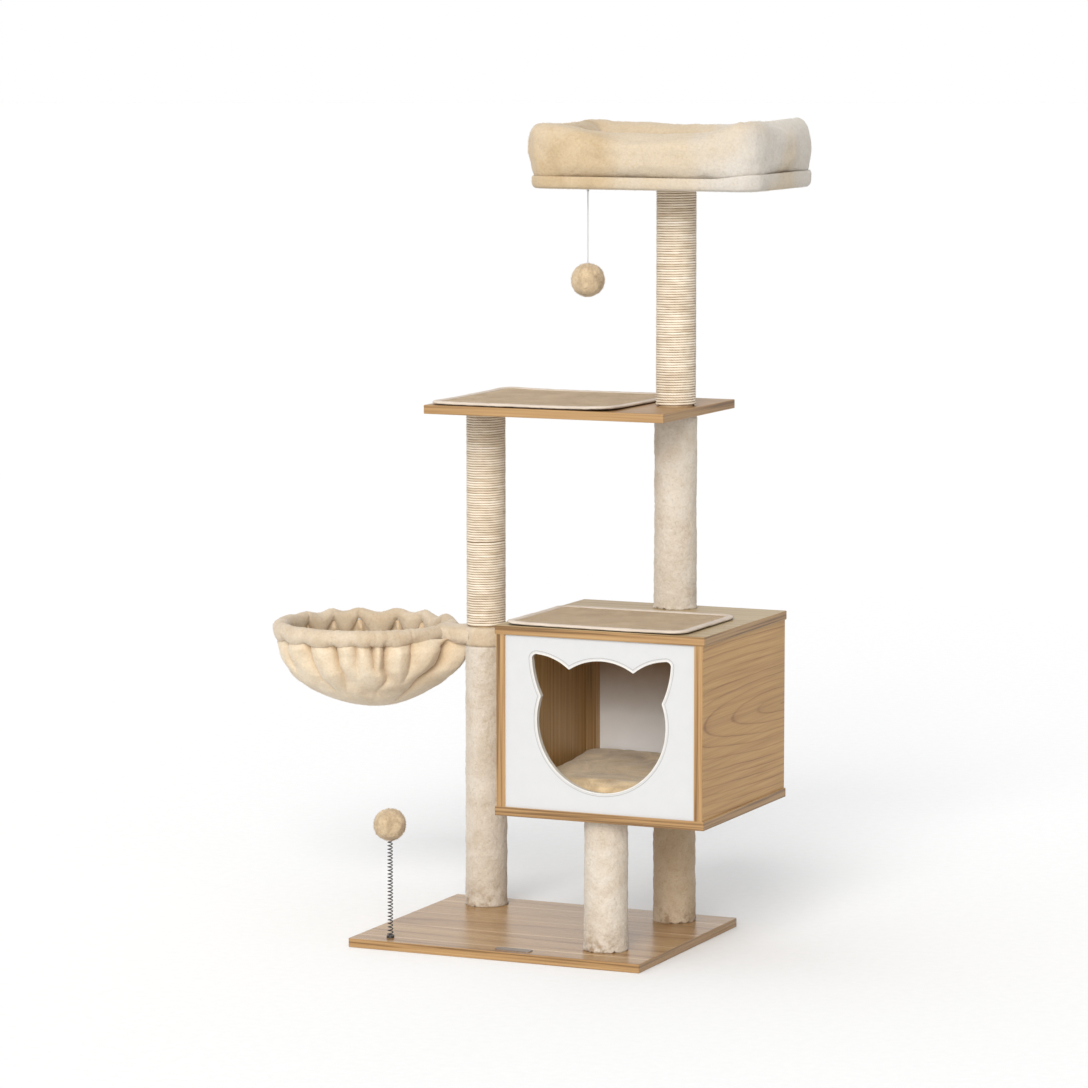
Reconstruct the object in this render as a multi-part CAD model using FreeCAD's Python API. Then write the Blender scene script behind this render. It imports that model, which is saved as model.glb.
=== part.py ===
import FreeCAD, Part
import math
import os
from FreeCAD import Vector

# Cat tree: base board, three post stacks, hammock, house, platform and bed.
# Millimetres. Origin: centre of the base board's underside. +X right, front faces -Y, +Z up.

os.makedirs("parts", exist_ok=True)

# ---- driving dimensions ----
BOARD = 15.0                    # chipboard thickness
BASE_W, BASE_D, BASE_R = 530.0, 430.0, 3.0

LEFT_POST = (-180.0, 154.5)
RIGHT_POST = (173.5, 154.5)
FRONT_POST = (165.5, -120.5)
TUBE_R, TUBE_WALL, PLUG_LEN = 30.0, 4.0, 35.0
PLUSH_R, FRONT_PLUSH_R, SISAL_R = 36.5, 37.5, 34.0
BOLT_R, HEAD_R, HEAD_T, HEAD_RECESS = 4.0, 10.0, 4.5, 5.0
BOLT_LEN, STUD_REACH = 40.0, 30.0

HOUSE_X0, HOUSE_X1 = -12.0, 362.0
HOUSE_Y0, HOUSE_Y1 = -176.0, 192.0
HOUSE_Z0, HOUSE_Z1 = 236.0, 554.0
SIDE_INSET_X, SIDE_INSET_Y = 3.0, 1.0      # roof and floor stick out past the side boards
FRONT_PANEL_T, BACK_PANEL_T = 12.0, 9.0
FRONT_RECESS, BACK_RECESS = 3.0, 3.0       # panels sit back from the side boards' edges
BATTEN = 18.0
CUSHION_T = 44.0

HEAD_X, HEAD_Z, HEAD_CUT_R = 178.0, 400.0, 116.0
CROWN_R = 105.0

PLATFORM_X0, PLATFORM_X1 = -223.0, 217.0
PLATFORM_Y0, PLATFORM_Y1 = -5.0, 315.0
PLATFORM_Z0 = 882.0

MAT_T, BINDING_T, BINDING_W, MAT_R = 4.5, 6.0, 13.0, 28.0
HOUSE_MAT = (0.0, 325.0, -174.0, 66.0)
PLATFORM_MAT = (-217.0, 120.0, -3.0, 311.0)

RING_X, RING_Y, RING_Z = -411.5, 154.5, 487.0
RING_R, ROD_R, RIM_R = 150.0, 4.0, 14.0
PLATE_W, PLATE_T = 44.0, 3.0
SLEEVE_R, SLEEVE_Z0, SLEEVE_Z1 = 39.0, 470.0, 503.0
BASKET_BOTTOM, BASKET_T = 353.0, 5.0

BED_X, BED_Y, BED_Z0 = 160.0, 150.0, 1265.0
BED_BOARD_W, BED_BOARD_D, BED_BOARD_T, BED_BOARD_R = 408.0, 268.0, 18.0, 48.0
BED_BOARD_X = BED_X + 6.0
COVER_T, COVER_BOTTOM_T = 4.0, 2.0
BOLSTER_W, BOLSTER_D, BOLSTER_H, BOLSTER_T = 440.0, 294.0, 90.0, 56.0
BOLSTER_R = 62.0
BED_PAD_T = 24.0

TOY_X, TOY_Y = 48.0, 70.0
TOY_BALL_R, TOY_BALL_Z = 28.7, 1111.0
STRING_R, KNOT_R = 1.0, 2.2
SPRING_X, SPRING_Y = -202.0, -182.0
SPRING_R, SPRING_WIRE = 4.5, 1.4
SPRING_BALL_R, SPRING_BALL_Z, SPRING_SPLIT_Z = 27.5, 207.5, 95.0

GAP = 0.3                       # clearance round soft parts that lift off
CUT_PAST = 5.0                  # a cutting solid runs this far past both faces
BOARD_CORNER_R, BOARD_EDGE_R, PLATFORM_CORNER_R = 1.5, 1.0, 3.0
CUSHION_CORNER_R, CUSHION_EDGE_R = 20.0, 14.0
BINDING_EDGE_R = 2.0
SPRING_INTO_BALL = 2.0


# ---- shape helpers ----
def box(x0, x1, y0, y1, z0, z1, corner=0.0, edge=0.0):
    """Upright block with rounded vertical corners and softened top and bottom edges."""
    shape = Part.makeBox(x1 - x0, y1 - y0, z1 - z0, Vector(x0, y0, z0))
    if corner:
        upright = [e for e in shape.Edges if abs(e.Vertexes[0].Z - e.Vertexes[1].Z) > 0.5 * (z1 - z0)]
        shape = shape.makeFillet(corner, upright)
    if edge:
        level = [e for e in shape.Edges if e.BoundBox.ZLength < 1e-6]
        shape = shape.makeFillet(edge, level)
    return shape


def centred_box(cx, cy, w, d, z0, z1, corner=0.0, edge=0.0):
    return box(cx - w / 2, cx + w / 2, cy - d / 2, cy + d / 2, z0, z1, corner, edge)


def rod(place, z0, z1, radius):
    return Part.makeCylinder(radius, z1 - z0, Vector(place[0], place[1], z0))


def tube(place, z0, z1, outer, inner):
    return rod(place, z0, z1, outer).cut(rod(place, z0, z1, inner))


def save(name, shape):
    """Write a node of one solid."""
    if len(shape.Solids) != 1:
        raise RuntimeError("%s has %d solids" % (name, len(shape.Solids)))
    shape.Solids[0].exportStep("parts/%s.step" % name)


def save_group(name, shapes):
    """Write a node of several identical, separate solids."""
    Part.makeCompound(shapes).exportStep("parts/%s.step" % name)


BASE_TOP = BOARD
HOUSE_FLOOR = HOUSE_Z0 + BOARD
HOUSE_CEILING = HOUSE_Z1 - BOARD
PLATFORM_TOP = PLATFORM_Z0 + BOARD
PLATE_Z0, PLATE_Z1 = RING_Z - PLATE_T / 2, RING_Z + PLATE_T / 2

# ---- posts: card tubes, each with a bored plug pressed into either end ----
CORES = {
    "left_lower_core": (LEFT_POST, BASE_TOP, PLATE_Z0),
    "left_upper_core": (LEFT_POST, PLATE_Z1, PLATFORM_Z0),
    "right_lower_core": (RIGHT_POST, BASE_TOP, HOUSE_Z0),
    "right_middle_core": (RIGHT_POST, HOUSE_Z1, PLATFORM_Z0),
    "right_upper_core": (RIGHT_POST, PLATFORM_TOP, BED_Z0),
    "front_core": (FRONT_POST, BASE_TOP, HOUSE_Z0),
}
plugs = []
for name, (place, z0, z1) in CORES.items():
    save(name, tube(place, z0, z1, TUBE_R, TUBE_R - TUBE_WALL))
    for low in (z0, z1 - PLUG_LEN):
        plugs.append(tube(place, low, low + PLUG_LEN, TUBE_R - TUBE_WALL, BOLT_R))
save_group("post_end_plugs", plugs)

save("left_lower_plush", tube(LEFT_POST, BASE_TOP, SLEEVE_Z0, PLUSH_R, TUBE_R))
save("right_lower_plush", tube(RIGHT_POST, BASE_TOP, HOUSE_Z0, PLUSH_R, TUBE_R))
save("right_middle_plush", tube(RIGHT_POST, HOUSE_Z1, PLATFORM_Z0, PLUSH_R, TUBE_R))
save("front_plush", tube(FRONT_POST, BASE_TOP, HOUSE_Z0, FRONT_PLUSH_R, TUBE_R))
save("left_upper_sisal", tube(LEFT_POST, SLEEVE_Z1, PLATFORM_Z0, SISAL_R, TUBE_R))
save("right_upper_sisal", tube(RIGHT_POST, PLATFORM_TOP, BED_Z0, SISAL_R, TUBE_R))


# ---- bolts: recessed heads, so boards and mats lie flat ----
def bolt(place, face_z, way):
    """Bolt whose head sits in a recess of the face at face_z and whose shank runs off in +Z or -Z."""
    seat = face_z + way * HEAD_RECESS
    head = rod(place, min(seat, seat - way * HEAD_T), max(seat, seat - way * HEAD_T), HEAD_R)
    end = seat + way * BOLT_LEN
    return head.fuse(rod(place, min(seat, end), max(seat, end), BOLT_R)).removeSplitter()


def bored(board, place, face_z, way):
    """Board with the bolt's through hole and head recess."""
    seat = face_z + way * HEAD_RECESS
    board = board.cut(rod(place, min(face_z, seat), max(face_z, seat), HEAD_R))
    return holed(board, place, BOLT_R)


def holed(board, place, radius):
    span = board.BoundBox
    return board.cut(rod(place, span.ZMin - CUT_PAST, span.ZMax + CUT_PAST, radius))


BED_BOARD_TOP = BED_Z0 + COVER_BOTTOM_T + BED_BOARD_T
save_group("post_bolts", [
    bolt(LEFT_POST, 0.0, 1),
    bolt(RIGHT_POST, 0.0, 1),
    bolt(FRONT_POST, 0.0, 1),
    bolt(RIGHT_POST, HOUSE_FLOOR, -1),
    bolt(FRONT_POST, HOUSE_FLOOR, -1),
    bolt(RIGHT_POST, HOUSE_CEILING, 1),
    bolt(LEFT_POST, PLATFORM_TOP, -1),
    bolt(RIGHT_POST, BED_BOARD_TOP, -1),
])
save("platform_stud", rod(RIGHT_POST, PLATFORM_Z0 - STUD_REACH, PLATFORM_TOP + STUD_REACH, BOLT_R))
save("hammock_stud", rod(LEFT_POST, PLATE_Z0 - STUD_REACH, PLATE_Z1 + STUD_REACH, BOLT_R))

# ---- base board, badge plate and the spring toy's foot ----
FOOT_R, FOOT_T, FOOT_SCREW_R, FOOT_SCREW_DEPTH = 6.5, 4.0, 2.5, 10.0
spring_place = (SPRING_X, SPRING_Y)
base = centred_box(0, 0, BASE_W, BASE_D, 0, BOARD, BASE_R, BOARD_EDGE_R)
for place in (LEFT_POST, RIGHT_POST, FRONT_POST):
    base = bored(base, place, 0.0, 1)
base = base.cut(rod(spring_place, BASE_TOP - FOOT_SCREW_DEPTH, BASE_TOP, FOOT_SCREW_R))
save("base_board", base)

BADGE_X, BADGE_Y, BADGE_W, BADGE_D, BADGE_T = 30.0, -192.0, 64.0, 20.0, 1.5
save("badge_plate", centred_box(BADGE_X, BADGE_Y, BADGE_W, BADGE_D, BASE_TOP, BASE_TOP + BADGE_T, 6.0))

# ---- house: roof and floor boards dowelled to the side boards between them ----
SIDE_Y0, SIDE_Y1 = HOUSE_Y0 + SIDE_INSET_Y, HOUSE_Y1 - SIDE_INSET_Y
LEFT_FACE, RIGHT_FACE = HOUSE_X0 + SIDE_INSET_X, HOUSE_X1 - SIDE_INSET_X
DOWEL_R, DOWEL_HALF, DOWEL_INSET = 4.0, 10.0, 50.0
dowels = []
for x in (LEFT_FACE + BOARD / 2, RIGHT_FACE - BOARD / 2):
    for y in (SIDE_Y0 + DOWEL_INSET, SIDE_Y1 - DOWEL_INSET):
        for joint_z in (HOUSE_FLOOR, HOUSE_CEILING):
            dowels.append(rod((x, y), joint_z - DOWEL_HALF, joint_z + DOWEL_HALF, DOWEL_R))
save_group("house_dowels", dowels)

roof = box(HOUSE_X0, HOUSE_X1, HOUSE_Y0, HOUSE_Y1, HOUSE_CEILING, HOUSE_Z1,
           BOARD_CORNER_R, BOARD_EDGE_R)
save("house_roof", bored(roof, RIGHT_POST, HOUSE_CEILING, 1).cut(dowels))
floor = box(HOUSE_X0, HOUSE_X1, HOUSE_Y0, HOUSE_Y1, HOUSE_Z0, HOUSE_FLOOR,
            BOARD_CORNER_R, BOARD_EDGE_R)
floor = bored(floor, RIGHT_POST, HOUSE_FLOOR, -1)
save("house_floor", bored(floor, FRONT_POST, HOUSE_FLOOR, -1).cut(dowels))
left_side = box(LEFT_FACE, LEFT_FACE + BOARD, SIDE_Y0, SIDE_Y1, HOUSE_FLOOR, HOUSE_CEILING)
save("house_left_side", left_side.cut(dowels))
right_side = box(RIGHT_FACE - BOARD, RIGHT_FACE, SIDE_Y0, SIDE_Y1, HOUSE_FLOOR, HOUSE_CEILING)
save("house_right_side", right_side.cut(dowels))

# inside faces of the room
ROOM_X0, ROOM_X1 = LEFT_FACE + BOARD, RIGHT_FACE - BOARD
ROOM_Y0 = SIDE_Y0 + FRONT_RECESS + FRONT_PANEL_T
ROOM_Y1 = SIDE_Y1 - BACK_RECESS - BACK_PANEL_T


# ---- cat-head doorway: round face, two pointed ears, a shallow crown ----
EAR_FOOT, NOTCH = 20.0, 57.0            # degrees up from level: outer and inner foot of an ear
# an ear's outline, off the head's centre line and up from the floor, from outside to inside
EAR_SIDE, TIP_OUT, TIP_MID = (121.0, 473.0), (125.0, 499.0), (122.5, 508.0)
TIP_IN, EAR_TOP = (113.0, 510.5), (83.0, 503.5)


def cat_head(y0, depth):
    def at(spot, side=1):
        return Vector(HEAD_X + side * spot[0], y0, spot[1])

    def on_circle(radius, degrees):
        a = math.radians(degrees)
        return at((radius * math.cos(a), HEAD_Z + radius * math.sin(a)))

    right_foot, left_foot = on_circle(HEAD_CUT_R, EAR_FOOT), on_circle(HEAD_CUT_R, 180 - EAR_FOOT)
    right_notch, left_notch = on_circle(CROWN_R, NOTCH), on_circle(CROWN_R, 180 - NOTCH)
    edges = [
        Part.Arc(right_foot, on_circle(HEAD_CUT_R, -90), left_foot).toShape(),
        Part.Arc(left_foot, at(EAR_SIDE, -1), at(TIP_OUT, -1)).toShape(),
        Part.Arc(at(TIP_OUT, -1), at(TIP_MID, -1), at(TIP_IN, -1)).toShape(),
        Part.Arc(at(TIP_IN, -1), at(EAR_TOP, -1), left_notch).toShape(),
        Part.Arc(left_notch, on_circle(CROWN_R, 90), right_notch).toShape(),
        Part.Arc(right_notch, at(EAR_TOP), at(TIP_IN)).toShape(),
        Part.Arc(at(TIP_IN), at(TIP_MID), at(TIP_OUT)).toShape(),
        Part.Arc(at(TIP_OUT), at(EAR_SIDE), right_foot).toShape(),
    ]
    face = Part.Face(Part.Wire(edges))
    return face.extrude(Vector(0, depth, 0))


front_y = SIDE_Y0 + FRONT_RECESS
front_panel = box(ROOM_X0, ROOM_X1, front_y, ROOM_Y0, HOUSE_FLOOR, HOUSE_CEILING)
save("house_front_panel", front_panel.cut(cat_head(front_y - CUT_PAST, FRONT_PANEL_T + 2 * CUT_PAST)))
save("house_back_panel",
     box(ROOM_X0, ROOM_X1, ROOM_Y1, ROOM_Y1 + BACK_PANEL_T, HOUSE_FLOOR, HOUSE_CEILING))
save("house_batten_left",
     box(ROOM_X0, ROOM_X0 + BATTEN, ROOM_Y1 - BATTEN, ROOM_Y1, HOUSE_FLOOR, HOUSE_CEILING))
save("house_batten_right",
     box(ROOM_X1 - BATTEN, ROOM_X1, ROOM_Y1 - BATTEN, ROOM_Y1, HOUSE_FLOOR, HOUSE_CEILING))

cushion_gap = 3.0
save("house_cushion",
     box(ROOM_X0 + cushion_gap, ROOM_X1 - cushion_gap,
         ROOM_Y0 + cushion_gap, ROOM_Y1 - BATTEN - cushion_gap / 2,
         HOUSE_FLOOR + GAP, HOUSE_FLOOR + GAP + CUSHION_T, CUSHION_CORNER_R, CUSHION_EDGE_R))


# ---- lift-off scratch mats: woven middle inside a sewn cloth binding ----
def mat_parts(limits, z0):
    x0, x1, y0, y1 = limits
    w = BINDING_W
    middle = box(x0 + w, x1 - w, y0 + w, y1 - w, z0, z0 + MAT_T, MAT_R - w)
    window = box(x0 + w, x1 - w, y0 + w, y1 - w, z0, z0 + BINDING_T, MAT_R - w)
    binding = box(x0, x1, y0, y1, z0, z0 + BINDING_T, MAT_R, BINDING_EDGE_R).cut(window)
    return middle, binding


middle, binding = mat_parts(HOUSE_MAT, HOUSE_Z1 + GAP)
save("house_mat", middle)
save("house_mat_binding", binding)
middle, binding = mat_parts(PLATFORM_MAT, PLATFORM_TOP + GAP)
save("platform_mat", middle)
save("platform_mat_binding", binding)

# ---- platform board ----
platform = box(PLATFORM_X0, PLATFORM_X1, PLATFORM_Y0, PLATFORM_Y1, PLATFORM_Z0, PLATFORM_TOP,
               PLATFORM_CORNER_R, BOARD_EDGE_R)
platform = bored(platform, LEFT_POST, PLATFORM_TOP, -1)
save("platform_board", holed(platform, RIGHT_POST, BOLT_R))

# ---- hammock: welded ring and plate, padded rim, hanging basket, joint sleeve ----
ring_centre = Vector(RING_X, RING_Y, RING_Z)
ring = Part.makeTorus(RING_R, ROD_R, ring_centre)
plate_x0 = RING_X + RING_R
plate = box(plate_x0, LEFT_POST[0], RING_Y - PLATE_W / 2, RING_Y + PLATE_W / 2, PLATE_Z0, PLATE_Z1)
frame = ring.fuse(plate).fuse(rod(LEFT_POST, PLATE_Z0, PLATE_Z1, PLATE_W / 2)).removeSplitter()
save("hammock_frame", holed(frame, LEFT_POST, BOLT_R))

rim_solid = Part.makeTorus(RING_R, RIM_R, ring_centre)
frame_space = ring.fuse(plate)
save("hammock_rim", rim_solid.cut(frame_space))

arm_length = LEFT_POST[0] - (RING_X + RING_R)
arm_r = SLEEVE_Z1 - RING_Z
arm = Part.makeCylinder(arm_r, arm_length, Vector(plate_x0, RING_Y, RING_Z), Vector(1, 0, 0))
sleeve = rod(LEFT_POST, SLEEVE_Z0, SLEEVE_Z1, SLEEVE_R).fuse(arm)
sleeve = sleeve.cut(rod(LEFT_POST, SLEEVE_Z0 - CUT_PAST, SLEEVE_Z1 + CUT_PAST, TUBE_R))
save("hammock_sleeve", sleeve.cut(plate).cut(ring).cut(rim_solid))

BASKET_PAST_RING = 8.0                  # the cloth's top edge stands this far outside the rod
FLATNESS, FULLNESS = 2.6, 0.62          # shape of the sag: flat bottom, full sides


def basket_profile(inset):
    """Half outline of the sagging basket, from its bottom out to under the rim."""
    rim_reach = RING_R + BASKET_PAST_RING - inset
    depth = RING_Z - BASKET_BOTTOM - inset
    points = []
    for share in (0.0, 0.2, 0.4, 0.6, 0.8, 0.93, 1.0):
        drop = depth * (1 - share ** FLATNESS) ** FULLNESS
        points.append(Vector(RING_X + rim_reach * share, RING_Y, RING_Z - drop))
    curve = Part.BSplineCurve()
    curve.interpolate(points)
    return curve.toShape(), points


outer_edge, outer_points = basket_profile(0.0)
inner_edge, inner_points = basket_profile(BASKET_T)
basket_wire = Part.Wire([
    outer_edge,
    Part.makeLine(outer_points[-1], inner_points[-1]),
    inner_edge,
    Part.makeLine(inner_points[0], outer_points[0]),
])
basket = Part.Face(basket_wire).revolve(Vector(RING_X, RING_Y, 0), Vector(0, 0, 1), 360)
basket = Part.Solid(basket) if basket.ShapeType != "Solid" else basket
save("hammock_basket", basket.cut(rim_solid).cut(arm))

# ---- bed: covered board on the tall post, stuffed bolster, loose floor pad ----
bed_board = centred_box(BED_BOARD_X, BED_Y, BED_BOARD_W, BED_BOARD_D,
                        BED_Z0 + COVER_BOTTOM_T, BED_BOARD_TOP, BED_BOARD_R)
ANCHOR_R, ANCHOR_T, ANCHOR_SCREW_R, ANCHOR_SCREW_LEN, KNOT_DROP = 6.0, 1.2, 1.5, 12.0, 4.0
toy_place = (TOY_X, TOY_Y)
anchor_screw = rod(toy_place, BED_Z0, BED_Z0 + ANCHOR_SCREW_LEN, ANCHOR_SCREW_R)
save("bed_board", bored(bed_board, RIGHT_POST, BED_BOARD_TOP, -1).cut(anchor_screw))
cover = centred_box(BED_BOARD_X, BED_Y, BED_BOARD_W + 2 * COVER_T, BED_BOARD_D + 2 * COVER_T,
                    BED_Z0, BED_BOARD_TOP, BED_BOARD_R + COVER_T)
cover = cover.cut(bed_board)
save("bed_cover", holed(cover, RIGHT_POST, BOLT_R).cut(anchor_screw))

WELL_R, BOLSTER_TOP_R, BOLSTER_FOOT_R = 18.0, 16.0, 10.0
PAD_CLEAR, PAD_R, PAD_EDGE_R = 3.0, 17.0, 8.0
outer = centred_box(BED_X, BED_Y, BOLSTER_W, BOLSTER_D,
                    BED_BOARD_TOP, BED_BOARD_TOP + BOLSTER_H, BOLSTER_R)
inner = centred_box(BED_X, BED_Y, BOLSTER_W - 2 * BOLSTER_T, BOLSTER_D - 2 * BOLSTER_T,
                    BED_BOARD_TOP, BED_BOARD_TOP + BOLSTER_H, WELL_R)
bolster = outer.cut(inner)


def level_edges(shape, z):
    return [e for e in shape.Edges if e.BoundBox.ZLength < 1e-6 and abs(e.BoundBox.ZMin - z) < 1e-3]


bolster = bolster.makeFillet(BOLSTER_TOP_R, level_edges(bolster, BED_BOARD_TOP + BOLSTER_H))
save("bed_bolster", bolster.makeFillet(BOLSTER_FOOT_R, level_edges(bolster, BED_BOARD_TOP)))
pad_w, pad_d = (size - 2 * BOLSTER_T - PAD_CLEAR for size in (BOLSTER_W, BOLSTER_D))
save("bed_pad", centred_box(BED_X, BED_Y, pad_w, pad_d, BED_BOARD_TOP + GAP, BED_BOARD_TOP + GAP + BED_PAD_T,
                            PAD_R, PAD_EDGE_R))

# ---- hanging toy: anchor disc, knot, string and ball ----
anchor = rod(toy_place, BED_Z0 - ANCHOR_T, BED_Z0, ANCHOR_R).fuse(anchor_screw).removeSplitter()
save("toy_anchor", anchor)
knot_z = BED_Z0 - KNOT_DROP
save("toy_knot", Part.makeSphere(KNOT_R, Vector(TOY_X, TOY_Y, knot_z)))
string_top = knot_z - KNOT_R - GAP
SEWN_IN = 3.0                           # how far the string goes into the ball
string_end = TOY_BALL_Z + TOY_BALL_R - SEWN_IN
string = rod(toy_place, string_end, string_top, STRING_R)
save("toy_string", string)
save("hanging_ball", Part.makeSphere(TOY_BALL_R, Vector(TOY_X, TOY_Y, TOY_BALL_Z)).cut(string))

# ---- spring toy: foot, coil spring in two halves and ball ----
foot = rod(spring_place, BASE_TOP, BASE_TOP + FOOT_T, FOOT_R)
save("spring_foot", foot.fuse(rod(spring_place, BASE_TOP - FOOT_SCREW_DEPTH, BASE_TOP, FOOT_SCREW_R)))
ball = Part.makeSphere(SPRING_BALL_R, Vector(SPRING_X, SPRING_Y, SPRING_BALL_Z))
bore = SPRING_R - SPRING_WIRE
save("spring_lower", tube(spring_place, BASE_TOP + FOOT_T, SPRING_SPLIT_Z, SPRING_R, bore))
ball_bottom = SPRING_BALL_Z - SPRING_BALL_R
save("spring_upper", tube(spring_place, SPRING_SPLIT_Z, ball_bottom + SPRING_INTO_BALL, SPRING_R, bore).cut(ball))
save("spring_ball", ball)
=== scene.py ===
import math

import bmesh
import bpy
import numpy as np
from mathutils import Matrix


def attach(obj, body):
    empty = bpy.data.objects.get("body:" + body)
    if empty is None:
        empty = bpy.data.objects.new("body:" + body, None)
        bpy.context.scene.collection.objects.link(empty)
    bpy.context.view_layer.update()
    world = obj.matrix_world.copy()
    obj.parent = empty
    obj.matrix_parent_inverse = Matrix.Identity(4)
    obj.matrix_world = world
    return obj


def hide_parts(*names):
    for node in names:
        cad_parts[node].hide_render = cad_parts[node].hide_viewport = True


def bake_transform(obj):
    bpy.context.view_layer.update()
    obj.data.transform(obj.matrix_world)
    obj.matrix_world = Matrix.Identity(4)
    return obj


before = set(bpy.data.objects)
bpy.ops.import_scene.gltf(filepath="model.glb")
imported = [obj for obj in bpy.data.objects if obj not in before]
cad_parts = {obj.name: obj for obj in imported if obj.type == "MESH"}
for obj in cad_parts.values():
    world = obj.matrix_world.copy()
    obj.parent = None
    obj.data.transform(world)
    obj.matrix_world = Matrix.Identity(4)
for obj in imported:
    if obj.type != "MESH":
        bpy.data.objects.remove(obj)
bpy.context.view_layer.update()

scene = bpy.context.scene

# ---- Camera and studio ----
# Eye height about 1.6 m and 8 m away with a long lens, on a pale seamless floor.
# A broad soft key and a lower fill come from the front; the white room is dimmer to each side.
LENS, EYE = 156.6, (3.2298, -7.2037, 1.5950)
LOOKS_DOWN, FROM_RIGHT = 6.681, 24.157
# each dimmed side: the way to it, how far round the dimming starts and ends, and what is left of the light
DIMMED_SIDES = (((0.90, 0.43, 0.0), 0.20, 0.85, 0.16),
                ((-0.90, -0.43, 0.0), 0.45, 1.0, 0.62))
FLOOR_R, FLOOR_Z, FLOOR_SIDES = 60, -0.0002, 64

camera = bpy.data.objects.new("camera", bpy.data.cameras.new("camera"))
camera.data.lens = LENS
camera.data.sensor_width = 36.0
camera.data.clip_end = 200.0
camera.location = EYE
camera.rotation_euler = (math.radians(90 - LOOKS_DOWN), 0.0, math.radians(FROM_RIGHT))
scene.collection.objects.link(camera)
scene.camera = camera
scene.view_settings.view_transform = "Standard"

world = bpy.data.worlds.new("white_room")
world.use_nodes = True
room = world.node_tree
toward = room.nodes.new("ShaderNodeTexCoord")
strength = room.nodes["Background"].inputs["Strength"]
dimmed = 1.0
for side, start, end, dark in DIMMED_SIDES:
    flag = room.nodes.new("ShaderNodeVectorMath")
    flag.operation = "DOT_PRODUCT"
    flag.inputs[1].default_value = side
    fade = room.nodes.new("ShaderNodeMapRange")
    for socket, value in (("From Min", start), ("From Max", end), ("To Min", 1.0), ("To Max", dark)):
        fade.inputs[socket].default_value = value
    both = room.nodes.new("ShaderNodeMath")
    both.operation = "MULTIPLY"
    both.inputs[1].default_value = 1.0
    room.links.new(toward.outputs["Generated"], flag.inputs[0])
    room.links.new(flag.outputs["Value"], fade.inputs["Value"])
    room.links.new(fade.outputs["Result"], both.inputs[0])
    if dimmed != 1.0:
        room.links.new(dimmed, both.inputs[1])
    dimmed = both.outputs[0]
room.links.new(dimmed, strength)
room.nodes["Background"].inputs["Color"].default_value = (1.0, 1.0, 1.0, 1.0)
scene.world = world


def soft_sun(name, energy, spread, around, height, color):
    """A broad distant light, around degrees to the right of the front and height degrees up."""
    lamp = bpy.data.objects.new(name, bpy.data.lights.new(name, "SUN"))
    lamp.data.energy = energy
    lamp.data.angle = math.radians(spread)
    lamp.data.color = color
    lamp.rotation_euler = (math.radians(90 - height), 0.0, math.radians(around))
    scene.collection.objects.link(lamp)


soft_sun("key", energy=2.0, spread=30, around=12, height=32, color=(1.0, 0.985, 0.96))
soft_sun("front_fill", energy=0.9, spread=30, around=20, height=16, color=(1.0, 0.99, 0.97))


class Look:
    """One procedural material. add() makes a node and wires or sets its inputs."""

    def __init__(self, name, rough=0.8, **sockets):
        self.mat = bpy.data.materials.new(name)
        self.mat.use_nodes = True
        self.tree = self.mat.node_tree
        self.skin = self.tree.nodes["Principled BSDF"]
        self.skin.inputs["Roughness"].default_value = rough
        for socket, value in sockets.items():
            self.skin.inputs[socket.replace("_", " ")].default_value = value
        coords = self.tree.nodes.new("ShaderNodeTexCoord")
        self.place, self.facing, self.uv = (coords.outputs[n] for n in ("Object", "Normal", "UV"))

    def add(self, kind, out, inputs, **props):
        node = self.tree.nodes.new("ShaderNode" + kind)
        for name, value in props.items():
            setattr(node, name, value)
        for name, value in inputs.items():
            if isinstance(value, bpy.types.NodeSocket):
                self.tree.links.new(value, node.inputs[name])
            else:
                node.inputs[name].default_value = value
        return node.outputs[out]

    def sum(self, op, a, b=0.0, c=0.0):
        return self.add("Math", 0, {0: a, 1: b, 2: c}, operation=op)

    def stretch(self, size, turn=(0, 0, 0), where=None):
        return self.add("Mapping", 0, {"Vector": where or self.place, "Scale": size, "Rotation": turn})

    def noise(self, where, scale, detail=2.0, rough=0.5, warp=0.0):
        return self.add("TexNoise", "Fac", {"Vector": where, "Scale": scale, "Detail": detail,
                                            "Roughness": rough, "Distortion": warp})

    def ramp(self, fac, *stops):
        node = self.tree.nodes.new("ShaderNodeValToRGB")
        self.tree.links.new(fac, node.inputs[0])
        while len(node.color_ramp.elements) < len(stops):
            node.color_ramp.elements.new(0.5)
        for element, (at, color) in zip(node.color_ramp.elements, stops):
            element.position = at
            element.color = (*color, 1.0) if hasattr(color, "__len__") else (color, color, color, 1.0)
        return node.outputs[0]

    def mix(self, fac, a, b, how="MIX"):
        node = self.tree.nodes.new("ShaderNodeMix")
        node.data_type, node.blend_type = "RGBA", how
        for socket, value in ((node.inputs[0], fac), (node.inputs[6], a), (node.inputs[7], b)):
            if isinstance(value, bpy.types.NodeSocket):
                self.tree.links.new(value, socket)
            elif hasattr(value, "__len__"):
                socket.default_value = (*value, 1.0)
            else:
                socket.default_value = value
        return node.outputs[2]

    def times(self, a, b):
        return self.mix(1.0, a, b, "MULTIPLY")

    def split(self, vector):
        node = self.tree.nodes.new("ShaderNodeSeparateXYZ")
        self.tree.links.new(vector, node.inputs[0])
        return node.outputs

    def paint(self, color=None, rough=None, bumps=()):
        """Wires colour, roughness and a chain of (height, depth in metres) bumps into the shader."""
        if color is not None:
            self.tree.links.new(color, self.skin.inputs["Base Color"])
        if rough is not None:
            self.tree.links.new(rough, self.skin.inputs["Roughness"])
        normal = None
        for height, depth in bumps:
            inputs = {"Height": height, "Distance": depth, "Strength": 1.0}
            if normal is not None:
                inputs["Normal"] = normal
            normal = self.add("Bump", 0, inputs)
        if normal is not None:
            self.tree.links.new(normal, self.skin.inputs["Normal"])
        return self.mat


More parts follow.
